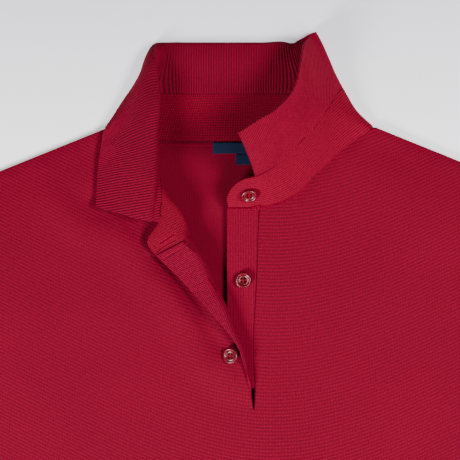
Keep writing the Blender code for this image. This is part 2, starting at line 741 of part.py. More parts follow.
def make_sleeve(name, sign, finish, group):
    """A flattened sleeve: an under and an upper layer, joined by two folded edges."""
    outer, inner, seam = sleeve_edges()
    across = [outer[-1].lerp(inner[-1], i / CUFF_STEPS) for i in range(1, CUFF_STEPS)]
    outline = outer + across + inner[::-1] + seam[-2:0:-1]
    builder = bmesh.new()
    panel(builder, outline, [], lambda x, y: BACK_LEVEL)
    panel(builder, outline, [SLEEVE_AREA], lambda x, y: tube_level(Vector((x, y))))
    for edge, way in ((outer, -SLEEVE_INWARD), (inner, SLEEVE_INWARD)):
        rows = []
        for place in edge:
            low = Vector((place.x, place.y, BACK_LEVEL))
            high = Vector((place.x, place.y, tube_level(place)))
            rows.append([low] + half_turn(place, way, high.z, True) + [high])
        add_grid(builder, rows)
    bmesh.ops.remove_doubles(builder, verts=builder.verts, dist=1e-6)
    for vert in builder.verts:
        vert.co.x *= sign
    bmesh.ops.recalc_face_normals(builder, faces=builder.faces)
    item = make_object(name, builder, finish, group)
    thicken(item, CLOTH)


def ring_of_layer(layer, sign):
    """A flattened ring over a line of points across the sleeve."""
    ring = [Vector((p.x, p.y, BACK_LEVEL)) for p in layer]
    ring += half_turn(layer[-1], SLEEVE_INWARD, tube_level(layer[-1]), True)
    ring += [Vector((p.x, p.y, tube_level(p))) for p in reversed(layer)]
    ring += half_turn(layer[0], -SLEEVE_INWARD, tube_level(layer[0]), False)
    return [Vector((sign * p.x, p.y, p.z)) for p in ring]


def make_sleeves(finish, rib_finish, group):
    """Both sleeves with their cuffs."""
    middle = SLEEVE_TOP_END.lerp(SLEEVE_UNDER_END, 0.5)
    half = SLEEVE_INWARD * CUFF_WIDTH / 2
    for side, sign in (("left", -1), ("right", 1)):
        make_sleeve(f"sleeve_{side}", sign, finish, group)
        rings = []
        for share in CUFF_SHARES:
            place = middle + SLEEVE_WAY * (SEAM_GAP / 2 + CUFF_LENGTH * share)
            layer = [place + half * (2 * j / CUFF_STEPS - 1) for j in range(CUFF_STEPS + 1)]
            rings.append(ring_of_layer(layer, sign))
        sheet(f"cuff_{side}", rings, CLOTH, rib_finish, group, closed=True)


def make_hem_rib(finish, group):
    """The hem rib: a flattened tube, drawn in below the body."""
    rings = []
    for share in HEM_RIB_SHARES:
        y = RIB_TOP_Y - SEAM_GAP / 2 - (RIB_HEIGHT - SEAM_GAP / 2) * share
        half = RIB_HALF + (HIP - RIB_HALF) * max(0.0, 1 - share / DRAWN_IN_BY)
        left = Vector((-half, y))
        right = Vector((half, y))
        rings.append(flat_ring(left, right, HEM_RIB_STEPS, tube_level))
    sheet("hem_rib", rings, CLOTH, finish, group, closed=True)


# ---- Bands

BAND_ROWS = 20
BAND_COLUMNS = 5


def make_button_band(finish, group):
    """The underlap, sewn to the slit's right side and level with the front."""
    rows = []
    for down in np.linspace(BAND_SEAM[0][1], BAND_FOOT, BAND_ROWS):
        seam = table_at(BAND_SEAM, down, 1, 0)
        row = []
        for share in np.linspace(0, 1, BAND_COLUMNS):
            across = BAND_EDGE + (seam - SEAM_GAP / UNIT / 2 - BAND_EDGE) * share
            row.append(on_band(across, down))
        rows.append(row)
    sheet("button_band", rows, BAND_CLOTH, finish, group)


def on_band(across, down, above=0.0):
    """A point on the button band's middle surface, or above it."""
    flat = seen(across, down, FRONT_LEVEL * 1000)
    flat.z = FRONT_LEVEL + air(flat.x, flat.y) + above
    return flat


FACING_FIRST_ROW = 9  # of the turned edge's rows
FACING_LIFT = CLOTH / 2 + GAP * 1.7 + FACING_CLOTH / 2
FACING_END = 0.85  # the share of its last row's length that the facing keeps below the neck seam


def make_facing(finish, group):
    """The buttonhole facing, outside the turned edge's cloth."""
    rows = []
    for row in turned_rows()[FACING_FIRST_ROW:]:
        lengths = section_lengths(row)[BARE_STEPS:]
        rows.append([turned_point(row, length, FACING_LIFT) for length in lengths])
    rows[-1] = [a.lerp(b, FACING_END) for a, b in zip(rows[-2], rows[-1])]
    sheet("buttonhole_facing", rows, FACING_CLOTH, finish, group)


# ---- Buttons

BUTTON_PROFILE = [
    # columns: share of the radius, share of the thickness
    (0.0, 0.62),
    (0.52, 0.62),
    (0.66, 0.74),
    (0.74, 1.0),
    (0.9, 1.0),
    (1.0, 0.78),
    (1.0, 0.42),
    (0.86, 0.12),
    (0.6, 0.0),
    (0.0, 0.0),
]
BUTTON_HOLE = 0.0016
BUTTON_HOLE_OFF = 0.00115
BUTTON_STEPS = 18
HOLE_STEPS = 8


def make_button(name, place, up, across_way, finish, group, cutters):
    """A four-hole button with a raised rim, standing on a place and facing up."""
    radius = BUTTON_WIDTH / 2
    builder = bmesh.new()
    profile = [(r * radius, 0.0, z * BUTTON_THICKNESS) for r, z in BUTTON_PROFILE]
    verts = [builder.verts.new(point) for point in profile]
    edges = [builder.edges.new(pair) for pair in zip(verts, verts[1:])]
    bmesh.ops.spin(
        builder,
        geom=verts + edges,
        cent=(0, 0, 0),
        axis=(0, 0, 1),
        angle=math.tau,
        steps=BUTTON_STEPS,
        use_merge=True,
    )
    bmesh.ops.remove_doubles(builder, verts=builder.verts, dist=1e-6)
    bmesh.ops.recalc_face_normals(builder, faces=builder.faces)
    item = make_object(name, builder, finish, group)
    normal = up.normalized()
    side = (across_way - normal * across_way.dot(normal)).normalized()
    frame = np.array([side, normal.cross(side), normal]).T
    turn = Vector(place)
    matrix = item.matrix_world.to_4x4()
    for i in range(3):
        for j in range(3):
            matrix[i][j] = float(frame[i][j])
        matrix[i][3] = turn[i]
    item.matrix_world = matrix
    for k in range(4):
        angle = math.pi / 4 + math.pi / 2 * k
        off = Vector((math.cos(angle), math.sin(angle), 0)) * BUTTON_HOLE_OFF * math.sqrt(2)
        hole = bmesh.new()
        bmesh.ops.create_cone(
            hole,
            cap_ends=True,
            segments=HOLE_STEPS,
            radius1=BUTTON_HOLE / 2,
            radius2=BUTTON_HOLE / 2,
            depth=BUTTON_THICKNESS * 3,
        )
        bmesh.ops.translate(hole, verts=hole.verts, vec=off)
        cutter = make_object(f"{name}_hole_{k}", hole, finish, cutters)
        cutter.matrix_world = matrix
        cutter.hide_render = True
        cutter.display_type = "WIRE"
        cut = item.modifiers.new(f"Hole {k}", "BOOLEAN")
        cut.operation = "DIFFERENCE"
        cut.object = cutter


BUTTON_CLEAR = 0.0006  # between a button and the cloth, taken up by its thread
TOP_BUTTON = (249.1, 193.4)
MIDDLE_BUTTON = (243.0, 280.0)
BOTTOM_BUTTON = (231.2, 355.1)
MIDDLE_UP = Vector((0.03, 0.02, 1))  # the directions that the loose buttons face
BOTTOM_UP = Vector((-0.5, 0.0, 1))
END_ROWS = 9  # of the stand's grid, which carry the top button


def surface_place(grid, across, down):
    """The nearest point of a grid in plan, with the surface's direction there."""
    best = None
    for i in range(1, len(grid) - 1):
        for j in range(1, len(grid[i]) - 1):
            point = grid[i][j]
            target = seen(across, down, point.z * 1000)
            off = (point.to_2d() - target.to_2d()).length
            if best is None or off < best[0]:
                normal = (grid[i + 1][j] - grid[i - 1][j]).cross(grid[i][j + 1] - grid[i][j - 1])
                best = (off, target, normal if normal.z > 0 else -normal)
    return best[1], best[2].normalized()


def make_buttons(stand_end, finish, group, cutters):
    """The three buttons, each on what carries it."""
    across_way = Vector((1, 0, 0))
    place, normal = surface_place(stand_end, *TOP_BUTTON)
    place = place + normal * (CLOTH / 2 + BUTTON_CLEAR)
    make_button("button_top", place, normal, across_way, finish, group, cutters)
    place = on_band(*MIDDLE_BUTTON, BAND_CLOTH / 2 + BUTTON_CLEAR)
    make_button("button_middle", place, MIDDLE_UP, across_way, finish, group, cutters)
    place = on_front(*BOTTOM_BUTTON, CLOTH / 2 + BUTTON_CLEAR * 4)
    make_button("button_bottom", place, BOTTOM_UP, across_way, finish, group, cutters)


# ---- Labels
# columns: name, left, right, top, bottom in picture units, on the back below the neck seam
LABELS = [
    ("neck_label", 213.1, 271.0, 142.6, 153.6),
    ("size_tab", 235.8, 252.0, 154.2, 164.8),
]


def make_labels(finish, group):
    """Two bare woven labels, flat on the back."""
    height = CLOTH + GAP + LABEL_CLOTH / 2
    for name, left, right, top, bottom in LABELS:
        rows = []
        for down in (top, bottom):
            rows.append([seen(across, down, height * 1000) for across in (left, right)])
        sheet(name, rows, LABEL_CLOTH, finish, group)


# ---- The whole garment


def main():
    clear_scene()
    group = collection("polo_sweater")
    cutters = collection("cutters")
    knit = material("fine_red_knit", "A5122C", 0.85)
    rib = material("red_rib_knit", "9C1029", 0.85)
    collar_knit = material("red_collar_knit", "9E112B", 0.85)
    plastic = material("dark_red_button", "6E1420", 0.3)
    woven = material("navy_label", "141C33", 0.7)

    sections = collar_sections()
    stand_rows = [section[:3] for section in sections] + end_sections()
    stand = collar_grid(stand_rows, STAND_STEPS, 0)
    seams = [row[0].copy() for row in stand]
    folded = [with_round_fold(section) for section in sections]
    leaf = collar_grid(folded, STAND_STEPS + LEAF_STEPS, len(STAND_STEPS))
    part_joint(stand, leaf)
    first_left = (len(LEFT_FRONT) - 1) * ROUND_STEPS
    pull_back(stand[:first_left], SEAM_GAP * 2)
    pull_back(stand[first_left:], SEAM_GAP)
    settle(stand)
    settle(leaf)
    sheet("collar_stand", stand, CLOTH, collar_knit, group)
    sheet("collar_leaf", leaf, CLOTH, collar_knit, group)

    last_left = (len(LEFT_FRONT) + len(LEFT_SIDE)) * ROUND_STEPS
    first_right = (len(sections) - len(RIGHT_FRONT) - 1) * ROUND_STEPS
    last_right = (len(sections) - 1) * ROUND_STEPS
    seam_left = seams[first_left + 1 : last_left + 1]
    seam_right = seams[first_right : last_right + 1]
    make_front(seam_left, seam_right, knit, group)
    make_back(seams[last_left + 4 : first_right - 1], knit, group)
    make_sleeves(knit, rib, group)
    make_hem_rib(rib, group)
    make_button_band(rib, group)
    make_facing(rib, group)
    make_buttons(stand[-END_ROWS:], plastic, group, cutters)
    make_labels(woven, group)


main()
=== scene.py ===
"""Looks of a fine-gauge knitted polo sweater, laid flat on its back with the placket open.

The garment lies with its front up: +Y points to the collar, +X to the right of the picture,
+Z up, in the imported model's own frame. Each soft piece is made again here as a finer wall
from the same measures as its solid, with the lie of its stitches kept as a UV map in metres,
and takes the place of that solid. Left and right are the picture's.
"""

import math

import bmesh
import bpy
import numpy as np
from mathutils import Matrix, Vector, noise
from mathutils.geometry import delaunay_2d_cdt


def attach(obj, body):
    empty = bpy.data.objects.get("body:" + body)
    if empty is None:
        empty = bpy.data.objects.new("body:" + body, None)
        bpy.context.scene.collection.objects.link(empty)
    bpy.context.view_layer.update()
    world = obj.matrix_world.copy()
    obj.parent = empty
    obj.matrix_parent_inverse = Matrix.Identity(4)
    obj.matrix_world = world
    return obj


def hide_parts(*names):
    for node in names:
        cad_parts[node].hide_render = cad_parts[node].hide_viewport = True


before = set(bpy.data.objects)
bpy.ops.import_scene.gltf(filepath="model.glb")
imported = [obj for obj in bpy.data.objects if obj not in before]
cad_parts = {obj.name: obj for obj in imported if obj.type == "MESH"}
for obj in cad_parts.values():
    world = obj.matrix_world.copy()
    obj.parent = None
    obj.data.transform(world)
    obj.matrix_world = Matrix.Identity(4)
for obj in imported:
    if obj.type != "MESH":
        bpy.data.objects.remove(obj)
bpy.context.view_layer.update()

# ---- The cloth
CLOTH = 0.0015  # wall of the knit
BAND_CLOTH = 0.0018  # wall of the doubled button band
FACING_CLOTH = 0.0012
LABEL_CLOTH = 0.0005
GAP = 0.0003  # between pieces that touch
SEAM_GAP = 0.0004  # between edges that are sewn together
BACK_LEVEL = CLOTH / 2  # height of the back's middle surface
FRONT_LEVEL = BACK_LEVEL + CLOTH + GAP
AIR = 0.0022  # the front's rise over the back, away from the closed edges
AIR_REACH = 0.035  # how far from an edge the front reaches that rise

# ---- The cut: a size M, half the garment, from the centre line
CHEST = 0.235
WAIST = 0.224
WAIST_Y = -0.19
HIP = 0.228
NECK_HALF = 0.0936
NECK_POINT_Y = 0.236
SHOULDER_HALF = 0.195
SHOULDER_SLOPE = math.radians(22)
BODY_LENGTH = 0.62  # shoulder neck point to hem, with the rib
RIB_HEIGHT = 0.055
RIB_HALF = 0.219
BACK_NECK_Y = 0.225
BACK_NECK_DROP = NECK_POINT_Y - BACK_NECK_Y
SLEEVE_TOP_LENGTH = 0.56  # shoulder tip to cuff seam
SLEEVE_SWING = math.radians(30)  # away from the body's length
SLEEVE_END = 0.1
SLEEVE_LEVEL = 0.0036
CUFF_LENGTH = 0.06
CUFF_WIDTH = 0.086
BUTTON_WIDTH = 0.0114
BUTTON_THICKNESS = 0.0026

SHOULDER_Y = NECK_POINT_Y - (SHOULDER_HALF - NECK_HALF) * math.tan(SHOULDER_SLOPE)
HEM_Y = NECK_POINT_Y - BODY_LENGTH
RIB_TOP_Y = HEM_Y + RIB_HEIGHT

# ---- The picture that the neck was measured from
UNIT = 0.00072  # metres for one picture unit on the ground
CENTRE_UNIT = 242.0  # the centre line
BACK_NECK_UNIT = 141.5  # the back neck seam
AXIS_UNIT = 230.0  # the middle of the picture, both ways
VIEW_HEIGHT = 1.6  # of the eye above the ground


def seen(across, down, height):
    """The place in metres of a point seen at (across, down), height in millimetres up."""
    lift = height / 1000.0
    nearer = 1.0 - lift / VIEW_HEIGHT
    across = AXIS_UNIT + (across - AXIS_UNIT) * nearer
    down = AXIS_UNIT + (down - AXIS_UNIT) * nearer
    x = (across - CENTRE_UNIT) * UNIT
    y = BACK_NECK_Y + (BACK_NECK_UNIT - down) * UNIT
    return Vector((x, y, lift))


# ---- Heights of the front


def smooth(value):
    """An S-shaped ramp from 0 to 1."""
    value = min(1.0, max(0.0, value))
    return value * value * (3.0 - 2.0 * value)


def distance_to_line(point, start, end):
    """The distance in plan from a point to a straight stretch."""
    line = end - start
    along = max(0.0, min(1.0, (point - start).dot(line) / line.length_squared))
    return (point - start - line * along).length


SHOULDER_TIP = Vector((SHOULDER_HALF, SHOULDER_Y))
UNDERARM = Vector((CHEST, 0.0))
SLEEVE_WAY = Vector((math.sin(SLEEVE_SWING), -math.cos(SLEEVE_SWING)))
SLEEVE_INWARD = Vector((-math.cos(SLEEVE_SWING), -math.sin(SLEEVE_SWING)))
SLEEVE_TOP_END = SHOULDER_TIP + SLEEVE_WAY * SLEEVE_TOP_LENGTH
SLEEVE_UNDER_END = SLEEVE_TOP_END + SLEEVE_INWARD * SLEEVE_END
CLOSED_EDGES = [
    (Vector((NECK_HALF, NECK_POINT_Y)), SHOULDER_TIP),
    (SHOULDER_TIP, SLEEVE_TOP_END),
    (UNDERARM, SLEEVE_UNDER_END),
    (UNDERARM, Vector((WAIST, WAIST_Y))),
    (Vector((WAIST, WAIST_Y)), Vector((HIP, RIB_TOP_Y))),
    (Vector((HIP, RIB_TOP_Y)), Vector((RIB_HALF, HEM_Y))),
]
NECK_LIFT = 0.0014  # the front stands a little off the back where the collar turns
NECK_LIFT_REACH = 0.016


def air(x, y):
    """The front's height over the back: none at a closed edge, AIR inside."""
    point = Vector((abs(x), y))
    nearest = min(distance_to_line(point, a, b) for a, b in CLOSED_EDGES)
    turn = (point - Vector((NECK_HALF, NECK_POINT_Y))).length / NECK_LIFT_REACH
    lift = NECK_LIFT * math.exp(-turn * turn)
    return max(AIR * smooth(nearest / AIR_REACH), lift)


# The slit's right side, where the button band is sewn to the front.
# columns: across, down
BAND_SEAM = [
    (259.3, 207.6),
    (258.3, 225.0),
    (257.1, 270.0),
    (254.4, 318.0),
    (253.2, 345.0),
    (253.4, 365.0),
    (254.9, 385.0),
    (255.0, 398.0),
    (254.4, 409.0),
]
BAND_WIDTH = 32.0
BAND_FOOT = 388.0
BAND_EDGE = 226.9  # its left edge
OVERLAP_LIFT = 0.0024  # the left front lies on the button band
OVERLAP_RAMP = 20.0
OVERLAP_FOOT_RAMP = 22.0
OVERLAP_END = 0.5  # picture units from the band's seam, where the lift ends


def band_seam_at(down):
    """How far across the band's seam lies, at a place down the picture."""
    return float(np.interp(down, [row[1] for row in BAND_SEAM], [row[0] for row in BAND_SEAM]))


def overlap_lift(x, y):
    """How much the left front rises to lie on the button band."""
    across = CENTRE_UNIT + x / UNIT
    down = BACK_NECK_UNIT + (BACK_NECK_Y - y) / UNIT
    seam = band_seam_at(down)
    if across > seam - OVERLAP_END or down > BAND_SEAM[-1][1]:
        return 0.0
    sideways = smooth((across - (seam - BAND_WIDTH - OVERLAP_RAMP)) / OVERLAP_RAMP)
    foot = smooth((BAND_SEAM[-1][1] - down) / OVERLAP_FOOT_RAMP)
    return OVERLAP_LIFT * sideways * foot


def front_height(x, y):
    """The height of the front's middle surface."""
    return FRONT_LEVEL + air(x, y) + overlap_lift(x, y)


def on_front(across, down, above=0.0):
    """A point on the front's middle surface, or above it."""
    flat = seen(across, down, FRONT_LEVEL * 1000)
    flat.z = front_height(flat.x, flat.y) + above
    return flat


# ---- Smooth curves through a few points


def smooth_curve(points, steps):
    """Points along a smooth curve through the given ones, so many steps to each span."""
    points = [np.array(point, dtype=float) for point in points]
    spans = [max(1e-6, np.linalg.norm(b - a)) for a, b in zip(points, points[1:])]
    slopes = [(b - a) / span for a, b, span in zip(points, points[1:], spans)]
    tangents = [slopes[0]]
    for before, after, width_a, width_b in zip(slopes, slopes[1:], spans, spans[1:]):
        tangents.append((before * width_b + after * width_a) / (width_a + width_b))
    tangents.append(slopes[-1])
    curve = [points[0]]
    for index, span in enumerate(spans):
        for step in range(1, steps[index] + 1):
            t = step / steps[index]
            curve.append(
                points[index] * (2 * t**3 - 3 * t**2 + 1)
                + tangents[index] * span * (t**3 - 2 * t**2 + t)
                + points[index + 1] * (3 * t**2 - 2 * t**3)
                + tangents[index + 1] * span * (t**3 - t**2)
            )
    return [Vector(point) for point in curve]


def columns_of(rows):
    """Turns rows of points into columns of points."""
    return [list(column) for column in zip(*rows)]


# ---- The turned-out edge of the left front
# One row for each section along the roll, from the slit's foot to the neck seam.
# columns: across, down (outermost point of the roll), slant in degrees of the section,
# radius in mm, turn in degrees, and the flat stretch beyond the turn in picture units
TURNED_EDGE = [
    (252.4, 408.0, 5, 1.3, 4, 3.8),
    (252.2, 392.0, 8, 1.3, 60, 0.8),
    (249.7, 376.0, 14, 1.5, 130, 0.4),
    (247.3, 363.0, 18, 1.6, 172, 0.3),
    (240.8, 343.0, 21, 1.8, 178, 0.8),
    (235.5, 331.5, 21, 2.0, 182, 2.4),
    (225.2, 305.8, 22, 2.5, 188, 10.0),
    (214.3, 284.0, 23, 3.0, 189, 16.0),
    (202.2, 253.6, 27, 3.6, 190, 27.5),
    (191.0, 236.0, 28, 3.9, 190, 32.5),
]
EDGE_WALL = 1.6  # picture units from the roll's outermost point to its middle surface
BARE_STEPS = 10
FACED_STEPS = 20
FACING_WIDTH = 0.023
FACING_LOWEST = math.radians(45)  # where the facing starts on a narrow roll
FACING_EASE = 0.006
ROLL_SPANS = 6


def turned_rows():
    """The table's rows, made closer by a smooth curve."""
    return smooth_curve(TURNED_EDGE, [ROLL_SPANS] * (len(TURNED_EDGE) - 1))


def turned_point(row, along, lift=0.0):
    """A point on the turned edge: along it in metres from the roll's start, moved out by lift."""
    across, down, slant, radius, turn, flat = row
    radius /= 1000.0
    turn = math.radians(turn)
    outward = Vector((math.cos(math.radians(slant)), math.sin(math.radians(slant)), 0))
    rim = seen(across, down, radius * 1000)
    axis = rim - outward * (radius + EDGE_WALL * UNIT)
    axis.z = front_height(axis.x, axis.y) + radius
    angle = min(along / radius, turn)
    beyond = along - angle * radius
    arm = outward * math.sin(angle) - Vector((0, 0, math.cos(angle)))
    way = outward * math.cos(angle) + Vector((0, 0, math.sin(angle)))
    return axis + arm * (radius + lift) + way * beyond


def turned_length(row):
    """The length of cloth in a section of the turned edge."""
    return row[3] / 1000.0 * math.radians(row[4]) + row[5] * UNIT


def section_lengths(row):
    """Lengths along the cloth at which a section of the turned edge has its points."""
    total = turned_length(row)
    lowest = row[3] / 1000.0 * FACING_LOWEST
    full = total - FACING_WIDTH
    start = (lowest + full + math.hypot(lowest - full, FACING_EASE)) / 2
    bare = [start * i / BARE_STEPS for i in range(BARE_STEPS)]
    return bare + [start + (total - start) * i / FACED_STEPS for i in range(FACED_STEPS + 1)]


def turned_section(row):
    """A section of the turned edge, from the roll's start to the cloth's edge."""
    return [turned_point(row, length) for length in section_lengths(row)]


# ---- The collar: one section for each row, from its left end round the back to the right
# Each point is (across, down, height in mm). A seam point is (across, down) on the front.
# columns: neck seam, middle of the stand, joint of stand and leaf, and four of the leaf
TOP_SECTION = TURNED_EDGE[-1]
TOP_LENGTH = turned_length(TOP_SECTION)
LEFT_FRONT = [
    (1.0, (147.5, 243.0, 11.0), (160.0, 222.0, 14.0),
     (152.0, 221.0, 15.0), (140.0, 219.0, 14.6), (119.0, 213.5, 11.8), (96.0, 207.0, 9.0)),
    (0.62, (166.0, 233.0, 13.2), (160.5, 212.0, 15.2),
     (153.0, 211.0, 16.4), (142.0, 209.0, 16.2), (120.0, 203.0, 12.4), (96.5, 197.0, 8.5)),
    (0.3, (177.0, 223.5, 14.2), (161.0, 203.0, 16.2),
     (154.5, 202.0, 17.6), (143.0, 200.0, 17.4), (120.5, 193.5, 13.0), (97.0, 187.5, 8.2)),
    (0.15, (182.0, 214.5, 13.8), (161.5, 195.0, 16.6),
     (155.0, 194.0, 18.4), (144.0, 192.0, 18.4), (121.0, 185.5, 13.4), (97.4, 180.0, 8.0)),
    (0.0, (179.0, 210.0, 12.2), (161.0, 188.5, 16.4),
     (155.5, 187.0, 19.0), (145.0, 185.5, 19.2), (121.5, 178.5, 13.8), (97.8, 173.0, 7.8)),
]
LEFT_SIDE = [
    ((166.0, 225.5), (171.0, 203.0, 10.6), (159.5, 180.5, 15.0),
     (157.0, 178.5, 18.6), (145.0, 177.0, 19.8), (121.8, 170.5, 14.0), (98.4, 166.0, 7.6)),
    ((147.0, 207.0), (156.0, 187.0, 8.6), (155.8, 168.5, 12.9),
     (157.6, 166.5, 17.2), (145.0, 165.0, 20.0), (122.0, 159.5, 14.0), (99.4, 158.0, 7.5)),
    ((129.5, 184.0), (143.0, 167.0, 8.2), (154.0, 153.0, 12.4),
     (157.7, 150.5, 16.6), (145.5, 149.0, 20.0), (122.5, 146.5, 14.0), (100.9, 149.5, 7.4)),
    ((118.5, 160.0), (137.0, 147.5, 8.0), (153.0, 137.0, 12.2),
     (157.7, 134.0, 16.4), (146.0, 133.0, 19.8), (124.0, 133.0, 13.6), (102.3, 141.0, 7.0)),
    ((113.6, 143.0), (133.0, 128.0, 8.0), (150.5, 114.0, 12.4),
     (158.3, 108.0, 15.6), (150.5, 104.0, 19.0), (128.0, 111.0, 12.4), (104.0, 132.0, 6.6)),
    ((112.4, 134.0), (128.0, 114.5, 6.6), (143.0, 99.0, 9.4),
     (157.4, 86.0, 13.0), (149.5, 81.0, 15.6), (130.5, 95.5, 9.4), (113.0, 117.5, 4.4)),
]
LEFT_TURN = [
    ((111.7, 129.0, 4.0), (127.5, 110.0, 5.4), (140.5, 92.0, 7.4),
     (156.5, 66.0, 10.4), (149.5, 62.0, 12.4), (139.0, 79.0, 5.2), (126.5, 97.0, 1.3)),
    ((111.7, 126.8, 2.4), (127.0, 108.0, 3.6), (141.5, 86.5, 5.0),
     (155.2, 52.5, 7.6), (150.0, 51.0, 7.0), (145.5, 62.0, 2.0), (139.5, 81.0, 0.85)),
    ((115.0, 129.8, 0.9), (130.5, 110.5, 2.3), (146.0, 88.5, 3.4),
     (158.0, 48.5, 4.6), (154.0, 45.0, 3.2), (153.5, 50.0, 0.9), (157.0, 68.0, 0.8)),
]
BACK_SEAMS = (134.0, 165.0, 205.0, 242.0, 280.0, 318.0)
BACK_MIDDLE = (0.93, 117.0, 1.0)
BACK_JOINT = (0.82, 94.0, 1.8)
BACK_FOLD = [(0.645, 47.0, 3.7), (0.64, 43.4, 2.3), (0.645, 47.0, 0.85), (0.65, 57.0, 0.8)]
BACK_FOLD_CENTRE = 238.5
RIGHT_TURN = [
    ((334.0, 139.6, 0.75), (328.5, 115.6, 1.1), (313.5, 93.2, 1.95),
     (299.5, 57.0, 3.8), (297.0, 48.0, 3.4), (296.0, 43.5, 2.1), (296.0, 42.9, 0.8)),
    ((350.0, 136.0, 0.8), (336.0, 112.0, 1.4), (322.0, 92.0, 2.2),
     (309.0, 65.0, 2.8), (305.5, 51.0, 3.0), (304.0, 43.0, 2.9), (304.5, 37.5, 2.2)),
    ((366.5, 129.5, 0.9), (351.5, 109.5, 1.8), (337.0, 89.0, 2.8),
     (325.0, 68.0, 3.4), (318.5, 54.0, 3.6), (313.0, 42.5, 3.8), (310.0, 33.8, 3.6)),
    ((372.0, 126.6, 2.4), (357.5, 113.0, 3.6), (342.0, 88.0, 5.4),
     (332.0, 68.0, 7.0), (325.0, 51.5, 7.8), (319.3, 39.5, 8.0), (315.3, 32.4, 7.6)),
    ((370.0, 129.0, 4.0), (354.5, 112.5, 5.8), (339.0, 91.0, 9.6),
     (328.0, 72.0, 12.6), (320.0, 56.5, 14.0), (314.0, 44.5, 14.2), (310.0, 36.8, 13.4)),
]
RIGHT_FRONT = [
    ((361.0, 135.5), (347.5, 118.0, 9.0), (334.0, 98.0, 13.8),
     (323.0, 80.0, 18.5), (315.0, 65.5, 21.5), (309.0, 54.0, 23.0), (304.0, 44.0, 23.0)),
    ((346.5, 146.0), (336.5, 128.5, 10.5), (326.0, 110.5, 17.5),
     (317.0, 95.0, 24.0), (310.5, 81.5, 29.0), (305.0, 70.5, 32.0), (300.5, 61.0, 33.5)),
    ((330.0, 160.5), (323.5, 143.0, 11.8), (315.0, 126.0, 20.0),
     (308.5, 112.0, 27.0), (303.5, 100.0, 33.0), (299.5, 89.5, 37.0), (296.5, 81.0, 39.5)),
    ((313.0, 177.5), (307.5, 158.5, 12.8), (301.0, 140.5, 21.6),
     (297.0, 128.0, 29.5), (294.0, 116.0, 36.0), (291.0, 105.0, 40.6), (288.5, 96.0, 44.0)),
    ((295.0, 194.0), (290.5, 174.5, 13.4), (285.5, 155.5, 23.0),
     (283.0, 144.0, 31.0), (280.5, 132.0, 38.5), (277.5, 120.0, 44.5), (274.5, 110.0, 48.5)),
    ((276.0, 202.8), (273.0, 185.0, 14.8), (270.0, 168.5, 25.5),
     (267.5, 157.0, 34.0), (264.0, 144.0, 42.5), (260.0, 131.5, 49.5), (256.5, 120.8, 54.0)),
    ((259.6, 206.3), (257.2, 190.0, 16.2), (255.0, 176.2, 28.0),
     (252.0, 166.0, 36.0), (247.5, 154.0, 45.5), (243.0, 143.0, 53.5), (238.4, 132.4, 59.5)),
]
RIGHT_END = [
    ((243.0, 206.6), (240.5, 192.5, 15.0), (243.5, 179.0, 25.0)),
    ((228.4, 206.6), (226.9, 198.5, 10.4), (231.2, 188.4, 17.4)),
]
STAND_STEPS = [38, 38]
LEAF_STEPS = [9, 3, 3, 3, 3, 10]
ROUND_STEPS = 6
CORNER_GAP = 0.0012  # more room between leaf and stand at their left ends
CORNER_ROWS = 12


def back_section(seam):
    """A section of the collar at the back: sides drawn in towards the top."""
    off_centre = (seam - CENTRE_UNIT) / (NECK_HALF / UNIT)
    rise = BACK_NECK_DROP / UNIT * off_centre**6
    points = [seen(seam, BACK_NECK_UNIT - rise, BACK_LEVEL * 1000)]
    for share, down, height in (BACK_MIDDLE, BACK_JOINT):
        across = CENTRE_UNIT + (seam - CENTRE_UNIT) * share
        points.append(seen(across, down - rise / 2, height))
    for share, down, height in BACK_FOLD:
        across = BACK_FOLD_CENTRE + (seam - CENTRE_UNIT) * share
        points.append(seen(across, down, height))
    return points


def collar_sections():
    """Every section's points in metres, left end to right end."""
    sections = []
    for share, *points in LEFT_FRONT:
        start = turned_point(TOP_SECTION, TOP_LENGTH * share)
        sections.append([start] + [seen(*point) for point in points])
    for seam, *points in LEFT_SIDE:
        sections.append([on_front(*seam)] + [seen(*point) for point in points])
    sections += [[seen(*point) for point in row] for row in LEFT_TURN]
    sections += [back_section(seam) for seam in BACK_SEAMS]
    sections += [[seen(*point) for point in row] for row in RIGHT_TURN]
    for seam, *points in RIGHT_FRONT:
        sections.append([on_front(*seam)] + [seen(*point) for point in points])
    return sections


def end_sections():
    """The stand's right end, which reaches past the leaf."""
    return [
        [on_front(*seam)] + [seen(*point) for point in points]
        for seam, *points in RIGHT_END
    ]


def with_round_fold(section):
    """Makes the leaf's fold half an ellipse: through the turn in, the ridge and the turn out."""
    *before, turn_in, ridge, turn_out, edge = section
    middle = (turn_in + turn_out) / 2
    points = []
    for degrees in (45, 135):
        angle = math.radians(degrees)
        side = (turn_in - middle) * math.cos(angle)
        points.append(middle + side + (ridge - middle) * math.sin(angle))
    return before + [turn_in, points[0], ridge, points[1], turn_out, edge]


def collar_grid(sections, steps, first):
    """A grid of points through the sections, from one of their columns to the last."""
    rows = [smooth_curve(section, steps)[sum(steps[:first]) :] for section in sections]
    spans = [ROUND_STEPS] * (len(rows) - 1)
    columns = [smooth_curve(column, spans) for column in columns_of(rows)]
    return columns_of(columns)


def pull_back(grid, distance):
    """Shortens each row of a grid at its first point."""
    for row in grid:
        step = row[1] - row[0]
        row[0] = row[0] + step.normalized() * min(distance, step.length / 2)


def across_line(way, line):
    """The part of a direction that is square to a line, one long."""
    return (way - line * way.dot(line)).normalized()


